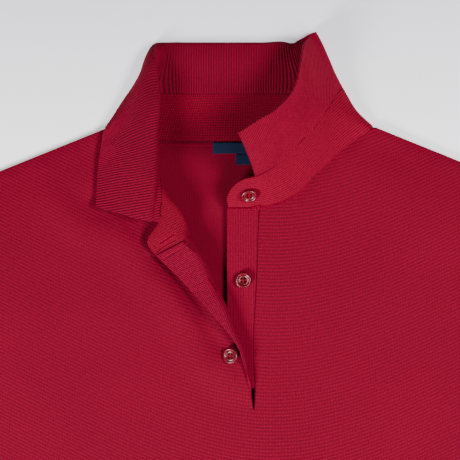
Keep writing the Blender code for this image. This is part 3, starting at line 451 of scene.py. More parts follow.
def part_joint(stand, leaf):
    """Draws stand and leaf apart along their joint, the more the sharper it is folded."""
    joint = [row[0].copy() for row in leaf]
    last = len(leaf) - 1
    for i, (below, above) in enumerate(zip(stand, leaf)):
        line = (joint[min(i + 1, last)] - joint[max(i - 1, 0)]).normalized()
        away = across_line(above[1] - above[0], line)
        back = across_line(below[-2] - below[-1], line)
        if back.dot(away) > 0.3:
            back = -away
        distance = SEAM_GAP / 2 + CLOTH / 2 * math.tan(away.angle(-back) / 2)
        distance += CORNER_GAP * max(0.0, 1 - i / CORNER_ROWS)
        above[0] = above[0] + away * distance
        below[-1] = below[-1] + back * distance


def settle(grid):
    """Keeps a wall's middle surface half a wall above the ground."""
    for row in grid:
        for point in row:
            point.z = max(point.z, CLOTH / 2)


# ---- The body's outline

ARMHOLE_PULLS = (Vector((0.176, 0.12)), Vector((0.203, 0.035)))
ARMHOLE_STEPS = 10
SHOULDER_SHARES = (0.025, 0.25, 0.5, 0.75)
SIDE_STEPS = 6
HEM_STEPS = 24


def armhole(t):
    """The point of the right armhole at t, from shoulder tip (0) to underarm (1)."""
    return (
        SHOULDER_TIP * (1 - t) ** 3
        + ARMHOLE_PULLS[0] * 3 * t * (1 - t) ** 2
        + ARMHOLE_PULLS[1] * 3 * t * t * (1 - t)
        + UNDERARM * t**3
    )


def armhole_outward(share):
    """The direction in plan from the armhole to the sleeve."""
    step = 0.01
    way = armhole(min(1.0, share + step)) - armhole(max(0.0, share - step))
    return Vector((-way.y, way.x)).normalized()


def side_outline():
    """The right side in plan: neck point, shoulder, armhole, side seam, hem corner."""
    neck = Vector((NECK_HALF, NECK_POINT_Y))
    points = [neck.lerp(SHOULDER_TIP, share) for share in SHOULDER_SHARES]
    points += [armhole(i / ARMHOLE_STEPS) for i in range(ARMHOLE_STEPS + 1)]
    waist = Vector((WAIST, WAIST_Y))
    hip = Vector((HIP, RIB_TOP_Y + SEAM_GAP))
    for start, end in ((UNDERARM, waist), (waist, hip)):
        points += [start.lerp(end, i / SIDE_STEPS) for i in range(1, SIDE_STEPS + 1)]
    return points


def hem_outline():
    """The hem seam from right to left, without its corners."""
    y = RIB_TOP_Y + SEAM_GAP
    return [Vector((HIP * (1 - 2 * i / HEM_STEPS), y)) for i in range(1, HEM_STEPS)]


def mirrored(points):
    """The same points on the left, in reverse order."""
    return [Vector((-p.x, p.y)) for p in reversed(points)]


def edges_of(outline):
    """The outline's straight stretches."""
    return zip(outline, outline[1:] + outline[:1])


def encloses(outline, point):
    """True where an outline goes round a point."""
    inside = False
    for a, b in edges_of(outline):
        if (a.y > point.y) != (b.y > point.y):
            if point.x < a.x + (point.y - a.y) * (b.x - a.x) / (b.y - a.y):
                inside = not inside
    return inside


# ---- Making pieces

RIM_ROUND = 0.0004  # how far a cloth edge is rounded
RIM_SHARE = 0.3  # of a thin wall, at most
RIM_ANGLE = math.radians(60)
SHARP = math.radians(50)
MERGE = 2e-6  # points closer than this are one
STITCHES = "stitches"  # the name of the UV map


def stitch_layer(builder):
    """The UV map that keeps the lie of a piece's stitches, in metres."""
    layers = builder.loops.layers.uv
    return layers[STITCHES] if STITCHES in layers else layers.new(STITCHES)


def bake_modifiers(item):
    """Turns what a piece's modifiers make into its own plain mesh."""
    graph = bpy.context.evaluated_depsgraph_get()
    shaped = item.evaluated_get(graph)
    mesh = bpy.data.meshes.new_from_object(
        shaped, preserve_all_data_layers=True, depsgraph=graph
    )
    item.modifiers.clear()
    item.data = mesh
    mesh.name = item.name


def finished(item, nodes=()):
    """Gives a piece its own mesh, lets it ride on the body, and hides the solids that it replaces.
    """
    bake_modifiers(item)
    item.data.shade_smooth()
    item.data.set_sharp_from_angle(angle=SHARP)
    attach(item, "root")
    if nodes:
        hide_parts(*nodes)
    return item


def make_object(name, builder, material):
    """Turns a bmesh into an object with its material."""
    mesh = bpy.data.meshes.new(name)
    builder.to_mesh(mesh)
    builder.free()
    mesh.materials.append(material)
    mesh.shade_smooth()
    item = bpy.data.objects.new(name, mesh)
    bpy.context.scene.collection.objects.link(item)
    return item


def give_wall(item, thickness, other_side=None):
    """Gives a cloth surface its wall, half to each side, with rounded edges."""
    wall = item.modifiers.new("Wall", "SOLIDIFY")
    wall.thickness = thickness
    wall.offset = 0.0
    if other_side:
        item.data.materials.append(other_side)
        wall.material_offset = 1
    wall.use_even_offset = False
    wall.use_quality_normals = True
    edge = item.modifiers.new("Rounded edge", "BEVEL")
    edge.width = min(RIM_ROUND, thickness * RIM_SHARE)
    edge.segments = 2
    edge.limit_method = "ANGLE"
    edge.angle_limit = RIM_ANGLE


def add_grid(builder, rows, stitches, closed=False):
    """Adds a surface through rows of points, with the lie of its stitches at each point."""
    layer = stitch_layer(builder)
    lines = [[builder.verts.new(point) for point in row] for row in rows]
    for r, (line, following) in enumerate(zip(lines, lines[1:])):
        for i in range(len(line) if closed else len(line) - 1):
            j = (i + 1) % len(line)
            face = builder.faces.new((line[i], line[j], following[j], following[i]))
            places = ((r, i), (r, i + 1), (r + 1, i + 1), (r + 1, i))
            for loop, (row, column) in zip(face.loops, places):
                loop[layer].uv = stitches[row][column]


def walled(name, builder, thickness, materials, nodes, turn_out=True):
    """Turns a surface into a knitted wall, with a finish for each of its sides."""
    bmesh.ops.remove_doubles(builder, verts=builder.verts, dist=MERGE)
    if turn_out:
        bmesh.ops.recalc_face_normals(builder, faces=builder.faces)
    item = make_object(name, builder, materials[0])
    give_wall(item, thickness, materials[-1] if len(materials) > 1 else None)
    return finished(item, nodes)


def cloth(name, rows, stitches, thickness, materials, nodes, closed=False):
    """A knitted wall through rows of points, which may be closed rings."""
    builder = bmesh.new()
    add_grid(builder, rows, stitches, closed)
    return walled(name, builder, thickness, materials, nodes, closed)


def area_of(builder):
    """The area of a surface that has no wall yet."""
    return sum(face.calc_area() for face in builder.faces)


def lengths_across(grid):
    """The length along each row of a grid, at each of its points."""
    steps = np.linalg.norm(np.diff(grid, axis=1), axis=2)
    return np.hstack((np.zeros((len(grid), 1)), np.cumsum(steps, axis=1)))


def slanted(grid, column, lean):
    """The distance square to ribs that slant over a grid, measured along one column."""
    spans = np.linalg.norm(np.diff(grid[:, column], axis=0), axis=1)
    short = 1 / np.sqrt(1 + lean**2)
    along = np.concatenate(([0.0], np.cumsum(spans * (short[:-1] + short[1:]) / 2)))
    return along[:, None] + (lean * short)[:, None] * lengths_across(grid)


def normals_of(grid):
    """The direction out of a surface at each point of its grid."""
    normals = np.cross(np.gradient(grid, axis=0), np.gradient(grid, axis=1))
    return normals / np.maximum(np.linalg.norm(normals, axis=2, keepdims=True), 1e-12)


def ribbed(grid, place, pitch, relief):
    """Makes a grid close enough for ribs, and raises each rib.

    Place is the distance square to the ribs at each point, and relief how far the ribs stand
    out there. Gives the points and the lie of their stitches.
    """
    layers = np.dstack((grid, normals_of(grid), lengths_across(grid), relief))
    wanted = np.arange(place.min(), place.max() + pitch / 4, pitch / 4)
    points = np.empty((len(wanted), grid.shape[1], 3))
    stitches = np.empty((len(wanted), grid.shape[1], 2))
    for j in range(grid.shape[1]):
        at = np.maximum.accumulate(place[:, j])
        fine = np.array([np.interp(wanted, at, layers[:, j, k]) for k in range(8)]).T
        inside = (wanted > at[0]) & (wanted < at[-1])
        lift = fine[:, 7] * np.cos(math.tau * wanted / pitch) * inside
        points[:, j] = fine[:, :3] + fine[:, 3:6] * lift[:, None]
        stitches[:, j, 0] = np.clip(wanted, at[0], at[-1])
        stitches[:, j, 1] = fine[:, 6]
    return [[Vector(point) for point in row] for row in points], stitches.tolist()


def lengths_along(points):
    """The length along a line at each of its points."""
    total = 0.0
    lengths = [0.0]
    for a, b in zip(points, points[1:]):
        total += (b - a).length
        lengths.append(total)
    return lengths


# ---- Materials

RIB_PITCH = 0.0018  # of the collar's ribs
STAND_PITCH = 0.0018  # of the rows on the stand's outer face
DRIFT = 0.0011  # how far stitches wander from their lines


def linear(value):
    """One sRGB channel, 0 to 1, made linear."""
    return value / 12.92 if value <= 0.04045 else ((value + 0.055) / 1.055) ** 2.4


def colour(hex_colour):
    """An sRGB colour as linear red, green, blue and alpha."""
    return [linear(int(hex_colour[i : i + 2], 16) / 255) for i in (0, 2, 4)] + [1.0]


def fill(node, inputs):
    """Sets or links a node's inputs."""
    for key, value in inputs.items():
        if isinstance(value, bpy.types.NodeSocket):
            node.id_data.links.new(value, node.inputs[key])
        else:
            node.inputs[key].default_value = value


def add(tree, kind, inputs, output=0, **settings):
    """Adds a node with its settings and inputs, and gives one of its outputs."""
    node = tree.nodes.new(kind)
    for name, value in settings.items():
        setattr(node, name, value)
    fill(node, inputs)
    return node.outputs[output]


def new_material(name):
    """A material, with its tree and its shader."""
    material = bpy.data.materials.new(name)
    material.use_nodes = True
    return material, material.node_tree, material.node_tree.nodes["Principled BSDF"]


def knit(name, light, dark, rib, row, rib_share, row_share, stagger, depth, phase=0.0):
    """Knitted wool: ribs a rib apart and rows of stitches a row apart, in metres.

    The stitches stand up as loops in the bump, and their colour paints light and shade on
    them: lighter on top as painted highlight, darker between as painted shade. Stagger shifts
    every second row by that part of half a rib, as tuck stitches do. The fibres fuzz the surface.
    """
    material, tree, shader = new_material(name)
    place = add(tree, "ShaderNodeUVMap", {}, uv_map=STITCHES)
    made = {}
    for label, scale, detail in (
        ("wander", 60.0, 3.0),
        ("loops", 550.0, 1.0),
        ("fuzz", 2500.0, 2.0),
        ("broad", 14.0, 2.0),
    ):
        inputs = {"Vector": place, "Scale": scale, "Detail": detail}
        made[label] = add(tree, "ShaderNodeTexNoise", inputs)
    wander = made["wander"].node.outputs["Color"]
    inputs = {0: wander, 1: (0.5, 0.5, 0.5)}
    evened = add(tree, "ShaderNodeVectorMath", inputs, operation="SUBTRACT")
    inputs = {0: evened, 1: (DRIFT, DRIFT, 0.0), 2: place}
    drift = add(tree, "ShaderNodeVectorMath", inputs, operation="MULTIPLY_ADD")
    made["across"], made["along"], _ = add(tree, "ShaderNodeSeparateXYZ", {0: drift}).node.outputs
    # columns: result, operation, and its numbers or earlier results
    for label, operation, *values in (
        ("row", "DIVIDE", "along", row),
        ("nearest row", "ROUND", "row"),
        ("odd row", "FLOORED_MODULO", "nearest row", 2.0),
        ("straight rib", "DIVIDE", "across", rib),
        ("rib", "MULTIPLY_ADD", "odd row", stagger / 2, "straight rib"),
        ("rib turn", "MULTIPLY_ADD", "rib", math.tau, phase * math.tau),
        ("rib wave", "COSINE", "rib turn"),
        ("rib furrow", "MULTIPLY_ADD", "rib wave", -0.5, 0.5),
        ("row turn", "MULTIPLY", "row", math.tau),
        ("row wave", "COSINE", "row turn"),
        ("row furrow", "MULTIPLY_ADD", "row wave", -0.5, 0.5),
        ("row part", "MULTIPLY", "row furrow", row_share),
        ("furrow", "MULTIPLY_ADD", "rib furrow", rib_share, "row part"),
        ("fuzz part", "MULTIPLY", "fuzz", 0.4),
        ("uneven", "MULTIPLY_ADD", "loops", 0.7, "fuzz part"),
        ("raised", "ADD", "uneven", 0.45),
        ("height", "SUBTRACT", "raised", "furrow"),
        ("lowered", "SUBTRACT", "height", 0.12),
        ("painted_shade_and_tone", "MULTIPLY_ADD", "broad", 0.24, "lowered"),
    ):
        inputs = {k: made.get(value, value) for k, value in enumerate(values)}
        made[label] = add(tree, "ShaderNodeMath", inputs, operation=operation)
    # painted light and shade: the colour runs from dark in the furrows (painted shade) to light on
    # the loops' tops (painted highlight), with a broad random tone
    inputs = {0: made["painted_shade_and_tone"], 6: colour(dark), 7: colour(light)}
    mixed = add(tree, "ShaderNodeMix", inputs, 2, data_type="RGBA", clamp_factor=True)
    inputs = {"Height": made["height"], "Strength": 1.0, "Distance": depth}
    constants = {"Roughness": 0.85, "Sheen Weight": 0.2, "Sheen Roughness": 0.5}
    fill(shader, constants | {"Sheen Tint": colour(light), "Specular IOR Level": 0.12})
    fill(shader, {"Base Color": mixed, "Normal": add(tree, "ShaderNodeBump", inputs)})
    return material


def resin(name, light, dark):
    """Dyed polyester resin, turned and tumbled: a soft gloss, and a little light goes in."""
    material, tree, shader = new_material(name)
    place = add(tree, "ShaderNodeTexCoord", {}, "Object")
    cloud = add(tree, "ShaderNodeTexNoise", {"Vector": place, "Scale": 350.0, "Detail": 3.0})
    inputs = {0: cloud, 6: colour(dark), 7: colour(light)}
    mixed = add(tree, "ShaderNodeMix", inputs, 2, data_type="RGBA")
    fill(shader, {"Roughness": 0.35, "IOR": 1.54, "Coat Weight": 0.25, "Coat Roughness": 0.2})
    fill(shader, {"Subsurface Weight": 0.15, "Subsurface Radius": (0.002, 0.0005, 0.0005)})
    fill(shader, {"Base Color": mixed})
    return material


def yarn(name, light, dark):
    """Spun thread: its twist shows as fine slanted lines, about 0.6 mm apart."""
    material, tree, shader = new_material(name)
    place = add(tree, "ShaderNodeTexCoord", {}, "Object")
    inputs = {"Vector": place, "Scale": 600.0, "Distortion": 1.0}
    twist = add(tree, "ShaderNodeTexWave", inputs, "Fac", bands_direction="DIAGONAL")
    inputs = {0: twist, 6: colour(dark), 7: colour(light)}
    mixed = add(tree, "ShaderNodeMix", inputs, 2, data_type="RGBA")
    bump = add(tree, "ShaderNodeBump", {"Height": twist, "Strength": 0.6, "Distance": 0.0001})
    fill(shader, {"Roughness": 0.9, "Specular IOR Level": 0.1})
    fill(shader, {"Base Color": mixed, "Normal": bump})
    return material


# In order: name, colour on top of the loops and the darker colour of the painted shade
# between them, pitch of the ribs and of the rows, their shares in the relief, stagger, depth of
# the relief, and phase of the ribs.
# Merino dyed as a whole garment, in pique: tuck stitches leave small pits, row by row, painted
# darker as shade.
BODY_KNIT = knit(
    "piece_dyed_merino_pique", "840026", "5A001A", 0.0019, 0.00255, 0.3, 0.5, 0.5, 0.0002
)
# Its wrong side: close loops, flatter and more even.
WRONG_SIDE = knit(
    "merino_pique_wrong_side", "780022", "5C0018", 0.0017, 0.0018, 0.35, 0.15, 0.0, 0.00015
)
# Collar rib: its wales stand up as ribs, with furrows between that are darker by painted shade.
LEAF_FACE = knit(
    "merino_collar_rib_face", "800026", "4A0013", RIB_PITCH, 0.0013, 0.8, 0.15, 0.0, 0.0002
)
LEAF_UNDER = knit(
    "merino_collar_rib_under", "8C002A", "480012", RIB_PITCH, 0.0013, 0.65, 0.15, 0.0, 0.0002, 0.5
)
# The stand: loops in both directions inside, and rows that run along it outside.
STAND_FACE = knit(
    "merino_stand_inner_face", "8E0026", "4A0012", 0.00175, 0.00177, 0.5, 0.4, 0.0, 0.0002
)
STAND_OUTER = knit(
    "merino_stand_outer_face", "900029", "4C0013", 0.0013, STAND_PITCH, 0.25, 0.6, 0.0, 0.0002
)
# The bands: a fine rib, pressed flat.
BAND_RIB = knit(
    "merino_band_rib", "860028", "520014", 0.00188, 0.0016, 0.4, 0.2, 0.0, 0.0002
)
FACING_KNIT = knit(
    "merino_facing_knit", "980030", "38000E", 0.0013, 0.0013, 0.5, 0.5, 0.0, 0.0002
)
LEAF_SIDES = [LEAF_UNDER, LEAF_FACE]
STAND_SIDES = [STAND_OUTER, STAND_FACE]
# Cuffs and hem: a wide, deep rib.
CUFF_RIB = knit(
    "merino_cuff_rib", "A60030", "4A0012", 0.003, 0.0015, 0.8, 0.1, 0.0, 0.0004
)
# Yarn of the seams, matt, in two copies with painted light: darker as painted shade where it lies
# deep, brighter as painted highlight where loops stand out.
SHADED_YARN = yarn("merino_linking_yarn_painted_shade", "5E0018", "3A000E")
LIT_YARN = yarn("merino_linking_loops_painted_highlight", "B00038", "860028")
# Polyester thread of the buttons and the tack: a brighter red.
BRIGHT_THREAD = yarn("polyester_sewing_thread", "B4002C", "980022")
BUTTON_RESIN = resin("dyed_polyester_resin", "84001E", "4E0010")
# Satin ribbon: smooth, with a weave so fine that it hardly shows.
LABEL_WEAVE = knit(
    "navy_satin_ribbon", "1B2540", "121A30", 0.0004, 0.0004, 0.3, 0.3, 1.0, 0.00003
)


# ---- The collar

sections = collar_sections()
stand = collar_grid([section[:3] for section in sections] + end_sections(), STAND_STEPS, 0)
seams = [row[0].copy() for row in stand]
folded = [with_round_fold(section) for section in sections]
leaf = collar_grid(folded, STAND_STEPS + LEAF_STEPS, len(STAND_STEPS))
part_joint(stand, leaf)
last_of_left_front = (len(LEFT_FRONT) - 1) * ROUND_STEPS
pull_back(stand[:last_of_left_front], SEAM_GAP * 2)
pull_back(stand[last_of_left_front:], SEAM_GAP)
settle(stand)
settle(leaf)

TURN_START = len(LEFT_FRONT) + len(LEFT_SIDE)  # the section where the collar turns to the back
BACK_START = TURN_START + len(LEFT_TURN)
BACK_END = BACK_START + len(BACK_SEAMS)
RIGHT_START = BACK_END + len(RIGHT_TURN)
LEFT_SLANT = 0.42  # how far the leaf's ribs lean on the left and on the right front
RIGHT_SLANT = 1.36
FOLD_COLUMN = sum(LEAF_STEPS[:3])
LEAF_RELIEF = 0.00016
STAND_RELIEF = 0.00012
RIDGE_FADE = (0.002, 0.009)  # from the fold, where the ribs are pulled flat
RIDGE_PULL = 0.8  # the share of their relief that the left ridge takes
TOP_PULL = 0.6  # and the right front's top
STAND_CLOSER = 0.3  # how much closer the stitches are at the stand's left end


def ramp(places, start, length):
    """An S-shaped ramp from 0 at the start to 1 a length on, for many places at once."""
    return np.vectorize(smooth)((places - start) / length)


def make_leaf():
    """The leaf, in rib: it folds over on the left and stands up on the right."""
    grid = np.array(leaf)
    section = np.arange(len(grid)) / ROUND_STEPS
    left = 1 - ramp(section, TURN_START - 4, 4)
    right = ramp(section, BACK_END + 1, 4)
    at_back = ramp(section, BACK_START - 0.5, 1.5) * ramp(-section, 0.5 - BACK_END, 1.5)
    place = slanted(grid, FOLD_COLUMN, LEFT_SLANT * left + RIGHT_SLANT * right)
    middle = (BACK_START + BACK_END) // 2 * ROUND_STEPS
    shift = place[middle, FOLD_COLUMN] - grid[middle, FOLD_COLUMN, 0]
    place += at_back[:, None] * (grid[:, :, 0] + shift - place)
    across = lengths_across(grid)
    beyond = np.abs(across - across[:, FOLD_COLUMN : FOLD_COLUMN + 1])
    pulled = 1 - ramp(beyond, RIDGE_FADE[0], RIDGE_FADE[1] - RIDGE_FADE[0])
    side = ramp(section, 4, 2) * (1 - ramp(section, BACK_START - 1.5, 1.5))
    top = ramp(section, BACK_END, 2) * (1 - ramp(section, RIGHT_START, 2))
    relief = LEAF_RELIEF * (1 - RIDGE_PULL * pulled * side[:, None])
    relief *= 1 - TOP_PULL * top[:, None]
    rows, stitches = ribbed(grid, place, RIB_PITCH, relief)
    name, nodes = "collar_leaf_rib", ["collar_leaf"]
    item = cloth(name, rows, stitches, CLOTH, LEAF_SIDES, nodes)


def make_stand():
    """The stand: rows of stitches show as fine ribs along its outer face."""
    grid = np.array(stand)
    section = np.arange(len(grid)) / ROUND_STEPS
    place = slanted(grid, len(grid[0]) // 2, np.zeros(len(grid)))
    across = lengths_across(grid)
    lift = STAND_RELIEF * ramp(section, BACK_END, 3)[:, None]
    lift = lift * np.cos(math.tau * across / STAND_PITCH)
    lift[[0, -1]] = 0.0
    lift[:, [0, -1]] = 0.0
    points = grid - normals_of(grid) * lift[:, :, None]
    closer = 1 + STAND_CLOSER * (1 - ramp(section, 4, 3))
    stitches = np.dstack((place * closer[:, None], across)).tolist()
    rows = [[Vector(point) for point in row] for row in points]
    name, nodes = "collar_stand_rib", ["collar_stand"]
    item = cloth(name, rows, stitches, CLOTH, STAND_SIDES, nodes)


# ---- The body

first_left = last_of_left_front + ROUND_STEPS // 2
last_left = (len(LEFT_FRONT) + len(LEFT_SIDE)) * ROUND_STEPS
first_right = (len(sections) - len(RIGHT_FRONT) - 1) * ROUND_STEPS
last_right = (len(sections) - 1) * ROUND_STEPS
# columns: low corner, high corner, step, margin
EVERYWHERE = ((-0.24, -0.33), (0.24, 0.24), 0.02, 0.009)
IN_VIEW = ((-0.18, -0.02), (0.18, 0.24), 0.009, 0.005)
BESIDE_SLIT = ((-0.06, 0.02), (0.03, 0.19), 0.005, 0.003)
RIPPLE = 0.0006
ROW_SLOPE = 0.494  # the steepest slope of the rows of stitches
ROW_LOW_X = 0.022  # where they lie level
ROW_BEND = 0.07
WALE_FAN = 0.12
RIPPLE_CLEAR = 0.03
SLIT_X = -0.01  # about where the slit lies, which keeps clear of ripples
NECK_CIRCLE = (0.24, 0.1)  # its middle's y, and its radius
SLIT_STEPS = 4


def inner_points(outline, areas):
    """Points inside an outline: coarse everywhere, finer in the named areas."""
    corners = np.array([tuple(p) for p in outline])
    ends = np.roll(corners, -1, axis=0)
    lines = ends - corners
    squared = (lines**2).sum(axis=1)
    inside = np.empty((0, 2))
    for low, high, step, margin in reversed(areas):
        for x in np.arange(low[0], high[0], step):
            for y in np.arange(low[1], high[1], step):
                place = np.array((x, y))
                share = np.clip(((place - corners) * lines).sum(axis=1) / squared, 0, 1)
                off = place - corners - lines * share[:, None]
                if (off**2).sum(axis=1).min() < margin**2:
                    continue
                if len(inside) and ((inside - place) ** 2).sum(axis=1).min() < margin**2:
                    continue
                if encloses(outline, Vector((x, y))):
                    inside = np.vstack((inside, place))
    return [Vector(place) for place in inside]


def panel(builder, outline, areas, height, lie):
    """Fills an outline with triangles, lifts them, and gives them the lie of their stitches."""
    layer = stitch_layer(builder)
    points = list(outline) + inner_points(outline, areas)
    ring = list(range(len(outline)))
    places, _, faces, _, _, _ = delaunay_2d_cdt(points, [], [ring], 1, 1e-7)
    verts = [builder.verts.new((p.x, p.y, height(p.x, p.y))) for p in places]
    for corners in faces:
        face = builder.faces.new([verts[i] for i in corners])
        for loop, i in zip(face.loops, corners):
            loop[layer].uv = lie(places[i].x, places[i].y)


def outward_in_plan(curve, distance):
    """Moves a curve in plan to its right-hand side."""
    moved = []
    last = len(curve) - 1
    for i, point in enumerate(curve):
        way = (curve[min(i + 1, last)] - curve[max(i - 1, 0)]).to_2d().normalized()
        moved.append(point.to_2d() + Vector((way.y, -way.x)) * distance)
    return moved


def front_lie(x, y):
    """Where the front's stitches lie: rows rise to both sides of the placket, wales fan out."""
    drawn = smooth((y + 0.3) / 0.25)  # straight again towards the hem
    off = (x - ROW_LOW_X) / ROW_BEND
    rise = ROW_SLOPE * ROW_BEND * math.log(math.cosh(off)) * drawn
    fan = WALE_FAN * math.tanh(off) * (y - 0.1) * drawn
    return (x + fan, y - rise)


# The front sinks in beside the leaf's lower edge and the turned edge, and rises beyond.
TROUGH = [(92.0, 204.0), (110.0, 210.0), (134.0, 218.0), (149.0, 224.0), (150.0, 240.0),
          (160.0, 256.0), (175.0, 273.0), (192.0, 295.0), (207.0, 318.0), (219.0, 341.0)]
TROUGH_DEPTH = 0.0021
TROUGH_WIDTH = 0.012
RIDGE_HEIGHT = 0.0026
RIDGE_WIDTH = 0.026
TROUGH_ENDS = 0.03  # the ridge runs out over this length
UNDER_STEEPER = 1.5  # how much steeper the trough is under the edge
trough_line = [seen(across, down, FRONT_LEVEL * 1000).to_2d() for across, down in TROUGH]


def beside_edge(x, y):
    """How far the front sinks (-1 to 0) and rises (0 to 1) beside what lies on it."""
    place = Vector((x, y))
    spans = zip(trough_line, trough_line[1:])
    off, start, end = min((distance_to_line(place, a, b), tuple(a), tuple(b)) for a, b in spans)
    way = Vector(end) - Vector(start)
    if way.cross(place - Vector(start)) > 0:
        return smooth(off / TROUGH_WIDTH * UNDER_STEEPER) - 1, 0.0
    rise = smooth(off / TROUGH_WIDTH)
    fall = 1 - smooth((off - TROUGH_WIDTH) / RIDGE_WIDTH)
    nearest = min((place - end).length for end in (trough_line[0], trough_line[-1]))
    return rise - 1, rise * fall * smooth(nearest / TROUGH_ENDS)


def soft_front(x, y):
    """The front's middle surface with the slight waves of knitted cloth at rest."""
    sunk, risen = beside_edge(x, y)
    calm = smooth(air(x, y) / AIR)
    dip = calm * (sunk * TROUGH_DEPTH + risen * RIDGE_HEIGHT) if x < 0 else 0.0
    slit = abs(x - SLIT_X) if y > 0.0 else math.hypot(x - SLIT_X, y)
    neck = math.hypot(x, y - NECK_CIRCLE[0]) - NECK_CIRCLE[1]
    edge = min(distance_to_line(Vector((abs(x), y)), a, b) for a, b in CLOSED_EDGES)
    room = smooth((min(slit, neck, edge) - RIPPLE_CLEAR / 2) / RIPPLE_CLEAR)
    wave = noise.noise(Vector((x * 22, y * 14, 3.0)))
    wave += 0.6 * noise.noise(Vector((x * 9, y * 31, 8.0)))
    return front_height(x, y) + dip + RIPPLE * room * wave


def make_back():
    """The back, flat on the ground, with its shallow neckline."""
    back_seams = seams[last_left + 2 * ROUND_STEPS : first_right - ROUND_STEPS + 1]
    side = side_outline()
    outline = side + hem_outline() + mirrored(side) + outward_in_plan(back_seams, SEAM_GAP / 2)
    builder = bmesh.new()
    panel(builder, outline, [EVERYWHERE, IN_VIEW], lambda x, y: BACK_LEVEL, lambda x, y: (x, y))
    area = area_of(builder)
    sides = [WRONG_SIDE, BODY_KNIT]
    item = walled("back_panel", builder, CLOTH, sides, ["back"])


def make_front():
    """The front: a panel with a slit, and its left edge turned out beside the slit."""
    rows = turned_rows()
    turned = [turned_section(row) for row in rows]
    for point in turned[0]:
        point.z = front_height(point.x, point.y)
    roll_start = [section[0].to_2d() for section in turned]
    slit = [seen(across, down, 0) for across, down in BAND_SEAM]
    slit = smooth_curve(slit, [SLIT_STEPS] * (len(BAND_SEAM) - 1))
    slit = [point.to_2d() + Vector((SEAM_GAP / 2, 0)) for point in slit]
    right_neck = outward_in_plan(seams[first_right : last_right + 1], -SEAM_GAP)
    left_neck = outward_in_plan(seams[first_left : last_left + 1], -SEAM_GAP * 1.5)
    side = side_outline()
    outline = slit[::-1] + right_neck[::-1] + side
    outline += hem_outline() + mirrored(side) + left_neck[::-1] + roll_start[::-1]
    outline += [point.to_2d() for point in turned[0][1:]]
    builder = bmesh.new()
    panel(builder, outline, [EVERYWHERE, IN_VIEW, BESIDE_SLIT], soft_front, front_lie)
    stitches = []
    for row, section in zip(rows, turned):
        start = front_lie(section[0].x, section[0].y)
        stitches.append([(start[0] + length, start[1]) for length in section_lengths(row)])
    add_grid(builder, turned, stitches)
    area = area_of(builder)
    sides = [BODY_KNIT, WRONG_SIDE]
    item = walled("front_panel", builder, CLOTH, sides, ["front"])


# ---- Sleeves, cuffs and hem rib: flattened tubes

TUBE_TURN_STEPS = 8
SLEEVE_TUCK = 0.0026  # the sleeve's folded edge stands off the side seam
SLEEVE_STATIONS = 30
SLEEVE_END_STEPS = 12
# columns: low corner, high corner, step, margin
OVER_SLEEVE = ((0.17, -0.38), (0.5, 0.2), 0.016, 0.008)
CUFF_RIB_PITCH = 0.003
CUFF_SHARES = (0.0, 0.04, 0.15, 0.35, 0.6, 0.85, 0.97, 1.0)  # of its length, from the seam
HEM_SHARES = (0.0, 0.05, 0.12, 0.3, 0.5, 0.7, 0.9, 0.98, 1.0)
HEM_DRAW = 8  # the hem rib is drawn in over an eighth of its height
RIB_RELIEF = 0.0002  # how far a cuff's ribs stand out
RIB_FADE = 20  # they rise over a twentieth of the rib's length, at both ends


def half_turn(place, way, top):
    """The points of a tube's folded edge, from below to above, without its ends."""
    radius = (top - BACK_LEVEL) / 2
    points = []
    for i in range(1, TUBE_TURN_STEPS):
        angle = math.pi * i / TUBE_TURN_STEPS
        out = place + way * radius * math.sin(angle)
        points.append(Vector((out.x, out.y, BACK_LEVEL + radius * (1 - math.cos(angle)))))
    return points


def tube_level(place):
    """The height of a tube's upper layer."""
    return SLEEVE_LEVEL + air(place.x, place.y)


def soft_sleeve(x, y):
    """A sleeve's upper layer, with slight creases between its ends."""
    place = Vector((x, y))
    along = (place - SHOULDER_TIP).dot(SLEEVE_WAY)
    edge = min(distance_to_line(place, a, b) for a, b in CLOSED_EDGES)
    room = smooth(edge / 0.04) * smooth((along - 0.03) / 0.08) * smooth((0.53 - along) / 0.08)
    wave = noise.noise(Vector((x * 12, y * 26, 5.0)))
    return tube_level(place) + RIPPLE * 1.5 * room * wave


def sleeve_lie(x, y):
    """Where a sleeve's stitches lie: across it and along it."""
    place = Vector((x, y)) - SHOULDER_TIP
    return (place.dot(SLEEVE_INWARD), place.dot(SLEEVE_WAY))


def sleeve_edge(builder, edge, way):
    """Joins a sleeve's two layers by a folded edge."""
    rows = []
    stitches = []
    for place in edge:
        low = Vector((place.x, place.y, BACK_LEVEL))
        high = Vector((place.x, place.y, tube_level(place)))
        row = [low] + half_turn(place, way, high.z) + [high]
        across, along = sleeve_lie(place.x, place.y)
        rows.append(row)
        stitches.append([(across + length, along) for length in lengths_along(row)])
    add_grid(builder, rows, stitches)


